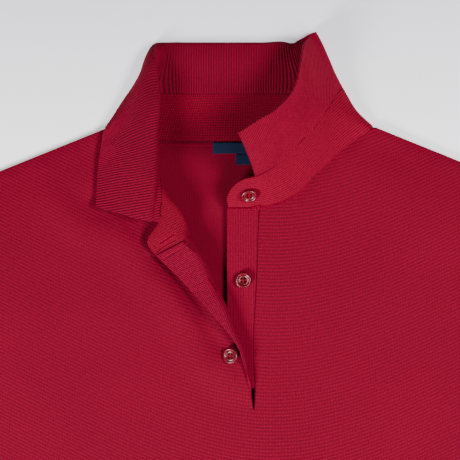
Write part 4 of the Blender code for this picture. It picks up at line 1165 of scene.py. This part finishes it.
def make_sleeve(side, sign):
    """A flattened sleeve: an under and an upper layer, joined by two folded edges."""
    shares = [i / ARMHOLE_STEPS for i in range(ARMHOLE_STEPS + 1)]
    seam = [armhole(share) + armhole_outward(share) * SEAM_GAP for share in shares]
    seam[-1] -= SLEEVE_INWARD * SLEEVE_TUCK
    drop = SLEEVE_WAY * SEAM_GAP
    shares = [i / SLEEVE_STATIONS for i in range(SLEEVE_STATIONS + 1)]
    outer = [seam[0].lerp(SLEEVE_TOP_END - drop, share) for share in shares]
    inner = [seam[-1].lerp(SLEEVE_UNDER_END - drop, share) for share in shares]
    steps = range(1, SLEEVE_END_STEPS)
    across = [outer[-1].lerp(inner[-1], i / SLEEVE_END_STEPS) for i in steps]
    outline = outer + across + inner[::-1] + seam[-2:0:-1]
    builder = bmesh.new()
    panel(builder, outline, [OVER_SLEEVE], lambda x, y: BACK_LEVEL, sleeve_lie)
    panel(builder, outline, [OVER_SLEEVE], soft_sleeve, sleeve_lie)
    sleeve_edge(builder, outer, -SLEEVE_INWARD)
    sleeve_edge(builder, inner, SLEEVE_INWARD)
    bmesh.ops.remove_doubles(builder, verts=builder.verts, dist=MERGE)
    for vert in builder.verts:
        vert.co.x *= sign
    area = area_of(builder)
    name = f"sleeve_{side}_tube"
    item = walled(name, builder, CLOTH, [BODY_KNIT], [f"sleeve_{side}"])


def rib_relief(share):
    """How far a flattened ring's ribs stand out, a share of the rib's length from its seam."""
    return RIB_RELIEF * smooth(share * RIB_FADE) * smooth((1 - share) * RIB_FADE)


def ribbed_ring(left, right, level, sign, relief):
    """A flattened ring with ribs, and the length round it at each point."""
    way = (right - left).normalized()
    width = (right - left).length
    count = int(width / CUFF_RIB_PITCH * 4)
    flat = [left.lerp(right, i / count) for i in range(count + 1)]
    ring = [Vector((p.x, p.y, BACK_LEVEL)) for p in flat]
    ring += half_turn(right, way, level(right))
    ring += [Vector((p.x, p.y, level(p))) for p in reversed(flat)]
    ring += half_turn(left, -way, level(left))[::-1]
    lengths = lengths_along(ring + [ring[0]])
    raised = []
    for i, point in enumerate(ring):
        out = 1.0 if count + TUBE_TURN_STEPS <= i <= 2 * count + TUBE_TURN_STEPS else 0.0
        lift = relief * out * 0.5 * (1 + math.cos(math.tau * lengths[i] / CUFF_RIB_PITCH))
        raised.append(Vector((sign * point.x, point.y, point.z + lift)))
    return raised, lengths


def resampled(ring, count):
    """A closed ring with a given number of points."""
    closed = ring + [ring[0]]
    lengths = lengths_along(closed)
    wanted = np.linspace(0, lengths[-1], count, endpoint=False)
    columns = [np.interp(wanted, lengths, [point[k] for point in closed]) for k in range(3)]
    return [Vector(point) for point in zip(*columns)]


def make_cuff(side, sign):
    """A cuff in rib, below the sleeve."""
    middle = SLEEVE_TOP_END.lerp(SLEEVE_UNDER_END, 0.5)
    half = SLEEVE_INWARD * CUFF_WIDTH / 2
    rows = []
    stitches = []
    for share in CUFF_SHARES:
        down = SEAM_GAP / 2 + CUFF_LENGTH * share
        place = middle + SLEEVE_WAY * down
        left, right = place - half, place + half
        ring, lengths = ribbed_ring(left, right, tube_level, sign, rib_relief(share))
        rows.append(ring)
        stitches.append([(length, down) for length in lengths])
    name, nodes = f"cuff_{side}_rib", [f"cuff_{side}"]
    item = cloth(name, rows, stitches, CLOTH, [CUFF_RIB], nodes, True)


def make_hem_rib():
    """The hem rib: a flattened tube, drawn in below the body."""
    rows = []
    stitches = []
    for share in HEM_SHARES:
        y = RIB_TOP_Y - SEAM_GAP / 2 - (RIB_HEIGHT - SEAM_GAP / 2) * share
        half = RIB_HALF + (HIP - RIB_HALF) * max(0.0, 1 - share * HEM_DRAW)
        left, right = Vector((-half, y)), Vector((half, y))
        ring, lengths = ribbed_ring(left, right, tube_level, 1, rib_relief(share))
        rows.append(ring)
        stitches.append([(length, y) for length in lengths])
    fewest = min(len(ring) for ring in rows)
    if any(len(ring) != fewest for ring in rows):
        rows = [resampled(ring, fewest) for ring in rows]
        heights = [pairs[0][1] for pairs in stitches]
        rounds = [lengths_along(ring + [ring[0]]) for ring in rows]
        stitches = [[(length, y) for length in lengths] for lengths, y in zip(rounds, heights)]
    name, nodes = "hem_rib_tube", ["hem_rib"]
    item = cloth(name, rows, stitches, CLOTH, [CUFF_RIB], nodes, True)


# ---- Bands

BAND_ROWS = 90
BAND_COLUMNS = 16
FACING_FIRST_ROW = 3 * ROLL_SPANS  # of the turned edge's rows
FACING_LIFT = CLOTH / 2 + GAP + FACING_CLOTH / 2
FACING_END = 0.7  # where the facing ends in the last span of the turned edge's rows


def on_band(across, down, above=0.0):
    """A point on the button band's middle surface, or above it."""
    flat = seen(across, down, FRONT_LEVEL * 1000)
    flat.z = FRONT_LEVEL + air(flat.x, flat.y) + above
    return flat


def make_button_band():
    """The underlap, sewn to the slit's right side and level with the front."""
    rows = []
    shares = [i / BAND_COLUMNS for i in range(BAND_COLUMNS + 1)]
    for down in np.linspace(BAND_SEAM[0][1], BAND_FOOT, BAND_ROWS):
        width = band_seam_at(down) - SEAM_GAP / UNIT / 2 - BAND_EDGE
        rows.append([on_band(BAND_EDGE + width * share, down) for share in shares])
    stitches = [[(point.x, point.y) for point in row] for row in rows]
    name, nodes = "button_band_rib", ["button_band"]
    item = cloth(name, rows, stitches, BAND_CLOTH, [BAND_RIB], nodes)
    width = max(lengths_along(row)[-1] for row in rows)


def make_facing():
    """The buttonhole facing, outside the turned edge's cloth."""
    rows = []
    for row in turned_rows()[FACING_FIRST_ROW:]:
        lengths = section_lengths(row)[BARE_STEPS:]
        rows.append([turned_point(row, length, FACING_LIFT) for length in lengths])
    rows[-1] = [a.lerp(b, FACING_END) for a, b in zip(rows[-2], rows[-1])]
    down = lengths_along([row[-1] for row in rows])
    stitches = []
    for row, along in zip(rows, down):
        stitches.append([(length, along) for length in lengths_along(row)])
    name, nodes = "buttonhole_facing_rib", ["buttonhole_facing"]
    item = cloth(name, rows, stitches, FACING_CLOTH, [FACING_KNIT], nodes)
    return rows


# ---- Buttons

BUTTON_PROFILE = [
    # columns: share of the radius, share of the thickness
    (0.0, 0.55),
    (0.42, 0.55),
    (0.52, 0.6),
    (0.58, 0.72),
    (0.64, 0.68),
    (0.7, 0.84),
    (0.76, 0.97),
    (0.83, 1.0),
    (0.9, 0.97),
    (0.96, 0.86),
    (0.995, 0.68),
    (0.99, 0.45),
    (0.93, 0.25),
    (0.8, 0.08),
    (0.6, 0.0),
    (0.0, 0.0),
]
BUTTON_SIDES = 48
BUTTON_FLOOR = 0.55  # height of its sunk middle, as a share of its thickness
BUTTON_HOLE = 0.0017
BUTTON_HOLE_OFF = 0.00115
HOLE_SIDES = 20
BUTTON_CLEAR = 0.0006  # between a button and the cloth, taken up by its thread
THREAD = (0.00025, 8)  # radius and sides
THREAD_RISE = 0.0002
SHANK = (0.0011, 10)
TOP_BUTTON = (249.1, 193.4)
MIDDLE_BUTTON = (243.0, 280.0)
BOTTOM_BUTTON = (231.2, 355.1)
MIDDLE_UP = Vector((0.03, 0.02, 1))
BOTTOM_UP = Vector((-0.5, 0.0, 1))


def surface_place(grid, across, down):
    """The nearest point of a grid in plan, with the surface's direction there."""
    best = None
    for i in range(1, len(grid) - 1):
        for j in range(1, len(grid[i]) - 1):
            point = grid[i][j]
            target = seen(across, down, point.z * 1000)
            off = (point.to_2d() - target.to_2d()).length
            if best is None or off < best[0]:
                normal = (grid[i + 1][j] - grid[i - 1][j]).cross(grid[i][j + 1] - grid[i][j - 1])
                best = (off, target, normal if normal.z > 0 else -normal)
    return best[1], best[2].normalized()


def drilled_button(name):
    """A four-hole button with a raised rim, lying at the origin."""
    radius = BUTTON_WIDTH / 2
    builder = bmesh.new()
    profile = [(r * radius, 0.0, z * BUTTON_THICKNESS) for r, z in BUTTON_PROFILE]
    verts = [builder.verts.new(point) for point in profile]
    edges = [builder.edges.new(pair) for pair in zip(verts, verts[1:])]
    bmesh.ops.spin(
        builder,
        geom=verts + edges,
        cent=(0, 0, 0),
        axis=(0, 0, 1),
        angle=math.tau,
        steps=BUTTON_SIDES,
        use_merge=True,
    )
    bmesh.ops.remove_doubles(builder, verts=builder.verts, dist=MERGE / 2)
    bmesh.ops.recalc_face_normals(builder, faces=builder.faces)
    item = make_object(name, builder, BUTTON_RESIN)
    cutters = []
    for k in range(4):
        angle = math.pi / 4 + math.pi / 2 * k
        off = Vector((math.cos(angle), math.sin(angle), 0)) * BUTTON_HOLE_OFF * math.sqrt(2)
        hole = bmesh.new()
        bmesh.ops.create_cone(
            hole,
            cap_ends=True,
            segments=HOLE_SIDES,
            radius1=BUTTON_HOLE / 2,
            radius2=BUTTON_HOLE / 2,
            depth=BUTTON_THICKNESS * 3,
        )
        bmesh.ops.translate(hole, verts=hole.verts, vec=off)
        cutters.append(make_object(f"{name}_hole", hole, BUTTON_RESIN))
        cut = item.modifiers.new(f"Hole {k}", "BOOLEAN")
        cut.operation = "DIFFERENCE"
        cut.object = cutters[-1]
    bake_modifiers(item)
    for cutter in cutters:
        bpy.data.objects.remove(cutter, do_unlink=True)
    return item


def make_button(name, place, up, node):
    """A button on what carries it, and the thread that holds it."""
    item = drilled_button(name)
    stand_up(item.data, place, up)
    finished(item, [node])
    builder = bmesh.new()
    reach = BUTTON_HOLE_OFF - BUTTON_HOLE * 0.3
    top = BUTTON_THICKNESS * BUTTON_FLOOR
    for x in (-reach, reach):
        path = [
            (x, -reach, 0.0),
            (x, -reach, top),
            (x, 0.0, top + THREAD_RISE),
            (x, reach, top),
            (x, reach, 0.0),
        ]
        add_tube(builder, smooth_curve(path, [3] * 4), *THREAD)
    add_tube(builder, [Vector((0, 0, -BUTTON_CLEAR * 0.9)), Vector((0, 0, 0))], *SHANK)
    thread = make_object(f"{name}_thread", builder, BRIGHT_THREAD)
    stand_up(thread.data, place, up)
    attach(thread, "root")


def stand_up(mesh, place, up):
    """Moves a mesh to a place, its own up along the given one."""
    normal = up.normalized()
    across = Vector((1, 0, 0))
    side = (across - normal * across.dot(normal)).normalized()
    other = normal.cross(side)
    for vert in mesh.vertices:
        x, y, z = vert.co
        vert.co = place + side * x + other * y + normal * z


def add_tube(builder, path, radius, sides):
    """Adds a closed round tube along a path to a bmesh."""
    rings = []
    last = len(path) - 1
    for i, point in enumerate(path):
        way = (path[min(i + 1, last)] - path[max(i - 1, 0)]).normalized()
        across = way.cross(Vector((0.31, 0.17, 0.93))).normalized()
        other = way.cross(across)
        rings.append(
            [
                builder.verts.new(
                    point
                    + across * radius * math.cos(math.tau * k / sides)
                    + other * radius * math.sin(math.tau * k / sides)
                )
                for k in range(sides)
            ]
        )
    for ring, following in zip(rings, rings[1:]):
        for k in range(sides):
            n = (k + 1) % sides
            builder.faces.new((ring[k], ring[n], following[n], following[k]))
    builder.faces.new(rings[0][::-1])
    builder.faces.new(rings[-1])


def make_buttons():
    """The three buttons, each on what carries it."""
    place, normal = surface_place(stand[-4 * ROUND_STEPS :], *TOP_BUTTON)
    place += normal * (CLOTH / 2 + BUTTON_CLEAR)
    make_button("button_top_resin", place, normal, "button_top")
    place = on_band(*MIDDLE_BUTTON, BAND_CLOTH / 2 + BUTTON_CLEAR)
    make_button("button_middle_resin", place, MIDDLE_UP, "button_middle")
    place = on_front(*BOTTOM_BUTTON, CLOTH / 2 + BUTTON_CLEAR * 4)
    make_button("button_bottom_resin", place, BOTTOM_UP, "button_bottom")


# ---- Labels
# columns: name, node, left, right, top, bottom in picture units, on the back below the neck seam
LABELS = [
    ("neck_label_ribbon", "neck_label", 213.1, 271.0, 142.6, 153.6),
    ("size_tab_ribbon", "size_tab", 235.8, 252.0, 154.2, 164.8),
]
LABEL_ROWS = 8
LABEL_COLUMNS = 20


def make_labels():
    """Two bare woven labels, flat on the back."""
    height = (CLOTH + GAP + LABEL_CLOTH / 2) * 1000
    for name, node, left, right, top, bottom in LABELS:
        places = np.linspace(left, right, LABEL_COLUMNS)
        downs = np.linspace(top, bottom, LABEL_ROWS)
        rows = [[seen(across, down, height) for across in places] for down in downs]
        stitches = [[(point.x, point.y) for point in row] for row in rows]
        cloth(name, rows, stitches, LABEL_CLOTH, [LABEL_WEAVE], [node])


# ---- Seams and stitches

STITCH_INPUTS = [
    ("Line", "NodeSocketGeometry"),
    ("Pitch", "NodeSocketFloat"),
    ("Length", "NodeSocketFloat"),
    ("Width", "NodeSocketFloat"),
    ("Lean", "NodeSocketFloat"),
    ("Zigzag", "NodeSocketFloat"),
    ("Uneven", "NodeSocketFloat"),
    ("Seed", "NodeSocketInt"),
    ("Yarn", "NodeSocketMaterial"),
]
STITCH_UNEVEN = 0.12  # how far a stitch turns from the others, in radians
STITCH_SEED = 7


def stitch_nodes():
    """Loops of yarn along a line, one every pitch, each turned from the line by its lean."""
    tree = bpy.data.node_groups.new("Stitches along a line", "GeometryNodeTree")
    for name, kind in STITCH_INPUTS:
        tree.interface.new_socket(name, in_out="INPUT", socket_type=kind)
    tree.interface.new_socket("Stitches", in_out="OUTPUT", socket_type="NodeSocketGeometry")
    entry = tree.nodes.new("NodeGroupInput").outputs
    line = add(tree, "GeometryNodeMeshToCurve", {"Mesh": entry["Line"]})
    inputs = {"Curve": line, "Length": entry["Pitch"]}
    places = add(tree, "GeometryNodeResampleCurve", inputs, mode="LENGTH")
    # A stitch's own up is the way out of the cloth, and its length turns from the line.
    up = add(tree, "GeometryNodeInputNamedAttribute", {"Name": "up"}, data_type="FLOAT_VECTOR")
    upright = add(tree, "FunctionNodeAlignRotationToVector", {"Vector": up}, axis="Z")
    inputs = {"Rotation": upright, "Vector": add(tree, "GeometryNodeInputTangent", {})}
    facing = add(tree, "FunctionNodeAlignRotationToVector", inputs, axis="X", pivot_axis="Z")
    inputs = {0: add(tree, "GeometryNodeInputIndex", {}), 1: 2.0}
    odd = add(tree, "ShaderNodeMath", inputs, operation="FLOORED_MODULO")
    side = add(tree, "ShaderNodeMath", {0: odd, 1: 2.0, 2: -1.0}, operation="MULTIPLY_ADD")
    inputs = {0: side, 1: entry["Zigzag"], 2: entry["Lean"]}
    lean = add(tree, "ShaderNodeMath", inputs, operation="MULTIPLY_ADD")
    inputs = {2: -1.0, 3: 1.0, "Seed": entry["Seed"]}
    chance = add(tree, "FunctionNodeRandomValue", inputs, 1, data_type="FLOAT")
    inputs = {0: chance, 1: entry["Uneven"], 2: lean}
    angle = add(tree, "ShaderNodeMath", inputs, operation="MULTIPLY_ADD")
    turn = add(tree, "FunctionNodeAxisAngleToRotation", {"Axis": (0, 0, 1), "Angle": angle})
    inputs = {"Rotation": facing, "Rotate By": turn}
    turned = add(tree, "FunctionNodeRotateRotation", inputs, rotation_space="LOCAL")
    inputs = {0: entry["Length"], 1: entry["Width"], 2: entry["Width"]}
    size = add(tree, "ShaderNodeCombineXYZ", inputs)
    bead = add(tree, "GeometryNodeMeshUVSphere", {"Segments": 8, "Rings": 6, "Radius": 0.5})
    inputs = {"Points": places, "Instance": bead, "Rotation": turned, "Scale": size}
    loops = add(tree, "GeometryNodeInstanceOnPoints", inputs)
    real = add(tree, "GeometryNodeRealizeInstances", {"Geometry": loops})
    dyed = add(tree, "GeometryNodeSetMaterial", {"Geometry": real, "Material": entry["Yarn"]})
    fill(tree.nodes.new("NodeGroupOutput"), {0: dyed})
    return tree


STITCH_NODES = stitch_nodes()


def stitch_row(name, line, yarn_used, values):
    """A row of stitches along points that come with the way out of the cloth."""
    mesh = bpy.data.meshes.new(name)
    mesh.from_pydata([place for place, _ in line], [(i, i + 1) for i in range(len(line) - 1)], [])
    outward = mesh.attributes.new("up", "FLOAT_VECTOR", "POINT")
    for i, (_, up) in enumerate(line):
        outward.data[i].vector = up
    item = bpy.data.objects.new(name, mesh)
    bpy.context.scene.collection.objects.link(item)
    rows = item.modifiers.new("Stitches", "NODES")
    rows.node_group = STITCH_NODES
    wanted = dict(zip(("Pitch", "Length", "Width", "Lean", "Zigzag"), values))
    wanted.update(Uneven=STITCH_UNEVEN, Seed=STITCH_SEED, Yarn=yarn_used)
    for socket in STITCH_NODES.interface.items_tree:
        if socket.in_out == "INPUT" and socket.name in wanted:
            rows[socket.identifier] = wanted[socket.name]
    finished(item)


def sight_on(grid, across, down, above):
    """The place seen at (across, down) on a surface, raised above it, and the way out of it."""
    points = np.array(grid)
    normals = normals_of(points)
    low = np.array(seen(across, down, 0))
    sight = np.array(seen(across, down, 60)) - low
    off = points - low - sight * (points[..., 2:] / sight[2])
    spot = np.unravel_index(np.linalg.norm(off, axis=2).argmin(), off.shape[:2])
    normal = normals[spot] * (1 if normals[spot][2] > 0 else -1)
    share = (points[spot] - low).dot(normal) / sight.dot(normal)
    return Vector(low + sight * share + normal * above), Vector(normal)


# columns: name, what it lies on, yarn, places in the picture, and the stitches' pitch, length,
# width, lean and zigzag
# Rows in the darker yarn are painted shade, rows in the brighter yarn painted highlight.
STITCH_ROWS = [
    ("stand_end_buttonhole_upper", "stand", LIT_YARN,
     [(158.6, 242.6), (165.0, 238.2), (172.6, 233.4)], (0.0005, 0.0016, 0.00045, 1.57, 0.0)),
    ("stand_end_buttonhole_lower", "stand", LIT_YARN,
     [(160.4, 245.0), (167.0, 240.8), (174.6, 236.0)], (0.0005, 0.0016, 0.00045, 1.57, 0.0)),
    # painted shade: the buttonhole's slot is a row of stitches in the darker yarn
    ("stand_end_buttonhole_slot_shade", "stand", SHADED_YARN,
     [(160.0, 243.6), (166.2, 239.2), (173.4, 234.8)], (0.0005, 0.0009, 0.0006, 0.0, 0.0)),
    ("stand_end_linking_upper", "stand", SHADED_YARN,
     [(156.0, 252.6), (165.0, 245.6), (176.0, 240.4)], (0.0012, 0.0014, 0.0005, 0.2, 0.2)),
    ("facing_linking", "facing", LIT_YARN,
     [(161.5, 258.6), (171.5, 252.4), (186.5, 243.6)], (0.0012, 0.0016, 0.0005, 0.3, 0.3)),
    ("facing_linking_dark", "facing", SHADED_YARN,
     [(163.0, 260.6), (173.0, 254.4), (188.0, 245.8)], (0.0011, 0.0012, 0.0004, 0.0, 0.1)),
    ("facing_tack", "facing", BRIGHT_THREAD,
     [(184.9, 256.2), (186.8, 256.9), (188.6, 256.6)], (0.0006, 0.0016, 0.0004, 0.5, 0.4)),
    ("facing_buttonhole_left", "facing", LIT_YARN,
     [(206.6, 279.4), (210.4, 284.4), (214.4, 290.6)], (0.0005, 0.0014, 0.0004, 1.57, 0.0)),
    ("facing_buttonhole_right", "facing", LIT_YARN,
     [(209.4, 278.4), (213.4, 283.4), (217.2, 289.6)], (0.0005, 0.0014, 0.0004, 1.57, 0.0)),
    # painted shade: the buttonhole's slot is a row of stitches in the darker yarn
    ("facing_buttonhole_slot_shade", "facing", SHADED_YARN,
     [(208.2, 279.2), (212.0, 284.2), (215.8, 290.4)], (0.0005, 0.0009, 0.0005, 0.0, 0.0)),
    ("back_neck_chain_left", "back", LIT_YARN,
     [(140.0, 145.2), (211.5, 145.2)], (0.0016, 0.0016, 0.0005, 0.25, 0.25)),
    ("back_neck_chain_right", "back", LIT_YARN,
     [(272.5, 145.2), (318.0, 145.2)], (0.0016, 0.0016, 0.0005, 0.25, 0.25)),
    # painted shade: the seam's links and the shade along the back neck seam, as a row of darker
    # yarn
    ("back_neck_links_and_shade_left", "back", SHADED_YARN,
     [(140.0, 142.8), (211.5, 142.8)], (0.0012, 0.0013, 0.0004, 1.57, 0.2)),
    ("right_neck_links", "front", LIT_YARN,
     [(252.0, 208.0), (262.0, 207.6), (276.0, 205.2), (290.0, 199.4), (306.0, 186.0)],
     (0.0012, 0.0028, 0.0005, 1.57, 0.1)),
    ("band_top_zigzag", "front", LIT_YARN,
     [(228.6, 209.0), (238.0, 209.4), (250.0, 209.2)], (0.0012, 0.0018, 0.0005, 1.57, 0.5)),
]
LOOP_LIFT = 0.0001


def make_stitches(facing):
    """Rows of linking loops, chain stitches, buttonholes and the tack."""
    up = Vector((0, 0, 1))
    stand_end = stand[: last_of_left_front + 3]
    back_top = (BACK_LEVEL + CLOTH / 2) * 1000
    front_top = CLOTH / 2 + LOOP_LIFT
    # for each surface: a line's steps to a span, its slot, and how a place is found on it
    surfaces = {
        "stand": (6, "red_rib_knit", lambda p: sight_on(stand_end, p.x, p.y, CLOTH / 2)),
        "facing": (6, "red_rib_knit", lambda p: sight_on(facing, p.x, p.y, FACING_CLOTH / 2)),
        "back": (23, "fine_red_knit", lambda p: (seen(p.x, p.y, back_top), up)),
        "front": (8, "red_collar_knit", lambda p: (on_front(p.x, p.y, front_top), up)),
    }
    for name, surface, yarn_used, places, values in STITCH_ROWS:
        steps, slot, spot = surfaces[surface]
        bends = [Vector((across, down, 0)) for across, down in places]
        line = [spot(point) for point in smooth_curve(bends, [steps] * (len(bends) - 1))]
        stitch_row(name, line, yarn_used, values)


SEAM_ROLL = (0.0007, 8)  # radius and sides
BAND_SEAM_ROLL = (0.0006, 8)
BAND_SEAM_STEPS = 6


def seam_roll(name, path, roll):
    """A linked seam: the small roll of cloth that it makes, in the darker yarn of painted shade.
    """
    builder = bmesh.new()
    add_tube(builder, path, *roll)
    # The roll is real; its darker yarn is painted shade in the seam's crease.
    item = make_object(name, builder, SHADED_YARN)
    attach(item, "root")


def make_seams():
    """The linked seams that close the gaps between the pieces."""
    joint = [a[-1].lerp(b[0], 0.5) for a, b in zip(stand, leaf)]
    seam_roll("stand_and_leaf_seam", joint[2:], SEAM_ROLL)
    neck = [row[0] + (seam - row[0]) * 0.6 for row, seam in zip(stand, seams)]
    seam_roll("neck_seam", neck, SEAM_ROLL)
    slit = [on_band(across, down) for across, down in BAND_SEAM]
    slit = smooth_curve(slit, [BAND_SEAM_STEPS] * (len(BAND_SEAM) - 1))
    seam_roll("band_seam", slit[4:], BAND_SEAM_ROLL)


# ---- The place, the light and the eye

FLOOR_HALF = 2.5
FLOOR_DROP = 0.0002  # below the cloth
FLOOR_GLOW = 0.8
FLOOR_SHADE_SPAN = (0.2, 0.33)  # over this stretch towards the collar, painted shade darkens the paper's colour and its glow
ROOM_LIGHT = 0.06
LIGHT_AIM = Vector((0.0, 0.14, 0.0))
LIGHT_REACH = 1.6
# columns: name, direction and height in degrees, size of the box, power, tint
LIGHTS = [
    ("right_softbox", 0, 50, 0.5, 25, "FFFDFB"),
    ("low_right_softbox", -45, 50, 0.5, 10, "FFFFFF"),
    ("left_softbox", 225, 30, 0.5, 42, "FBFCFF"),
]


def make_stage():
    """A plain pale floor: paper lit from below, as on a light table, with painted shade that
    darkens it towards the top of the picture.
    """
    builder = bmesh.new()
    corners = [(-1, -1), (1, -1), (1, 1), (-1, 1)]
    places = [(x * FLOOR_HALF, y * FLOOR_HALF, -FLOOR_DROP) for x, y in corners]
    builder.faces.new([builder.verts.new(place) for place in places])
    material, tree, shader = new_material("pale_studio_paper")
    place = add(tree, "ShaderNodeTexCoord", {}, "Object")
    y = add(tree, "ShaderNodeSeparateXYZ", {0: place}, 1)
    inputs = {0: y, 1: FLOOR_SHADE_SPAN[0], 2: FLOOR_SHADE_SPAN[1], 3: 0.0, 4: 1.0}
    # painted shade: colour and glow go from near white to grey towards the top of the picture
    inputs = {0: add(tree, "ShaderNodeMapRange", inputs), 6: colour("FBFBFC"), 7: colour("D6D3DC")}
    mixed = add(tree, "ShaderNodeMix", inputs, 2, data_type="RGBA")
    fill(shader, {"Roughness": 0.9, "Emission Strength": FLOOR_GLOW})
    fill(shader, {"Base Color": mixed, "Emission Color": mixed})
    make_object("floor", builder, material)


def make_lights():
    """Soft boxes round the table, and a pale room."""
    for name, direction, height, size, power, tint in LIGHTS:
        around, up = math.radians(direction), math.radians(height)
        flat = math.cos(up)
        way = Vector((math.cos(around) * flat, math.sin(around) * flat, math.sin(up)))
        light = bpy.data.lights.new(name, "AREA")
        light.shape = "SQUARE"
        light.size = size
        light.energy = power
        light.color = colour(tint)[:3]
        item = bpy.data.objects.new(name, light)
        item.location = LIGHT_AIM + way * LIGHT_REACH
        item.rotation_euler = way.to_track_quat("Z", "Y").to_euler()
        bpy.context.scene.collection.objects.link(item)
    world = bpy.context.scene.world or bpy.data.worlds.new("room")
    bpy.context.scene.world = world
    world.use_nodes = True
    fill(world.node_tree.nodes["Background"], {0: colour("F2F3F6"), 1: ROOM_LIGHT})


def make_camera():
    """Straight above, at the photograph's angle and frame."""
    camera = bpy.data.cameras.new("eye")
    camera.sensor_width = 36.0
    camera.lens = camera.sensor_width * VIEW_HEIGHT / (2 * AXIS_UNIT * UNIT)
    item = bpy.data.objects.new("eye", camera)
    x = (AXIS_UNIT - CENTRE_UNIT) * UNIT
    item.location = (x, BACK_NECK_Y + (BACK_NECK_UNIT - AXIS_UNIT) * UNIT, VIEW_HEIGHT)
    bpy.context.scene.collection.objects.link(item)
    bpy.context.scene.camera = item


make_camera()
make_stage()
make_lights()
make_back()
make_front()
for side, sign in (("left", -1), ("right", 1)):
    make_sleeve(side, sign)
    make_cuff(side, sign)
make_hem_rib()
make_leaf()
make_stand()
make_button_band()
facing_rows = make_facing()
make_buttons()
make_labels()
make_seams()
make_stitches(facing_rows)
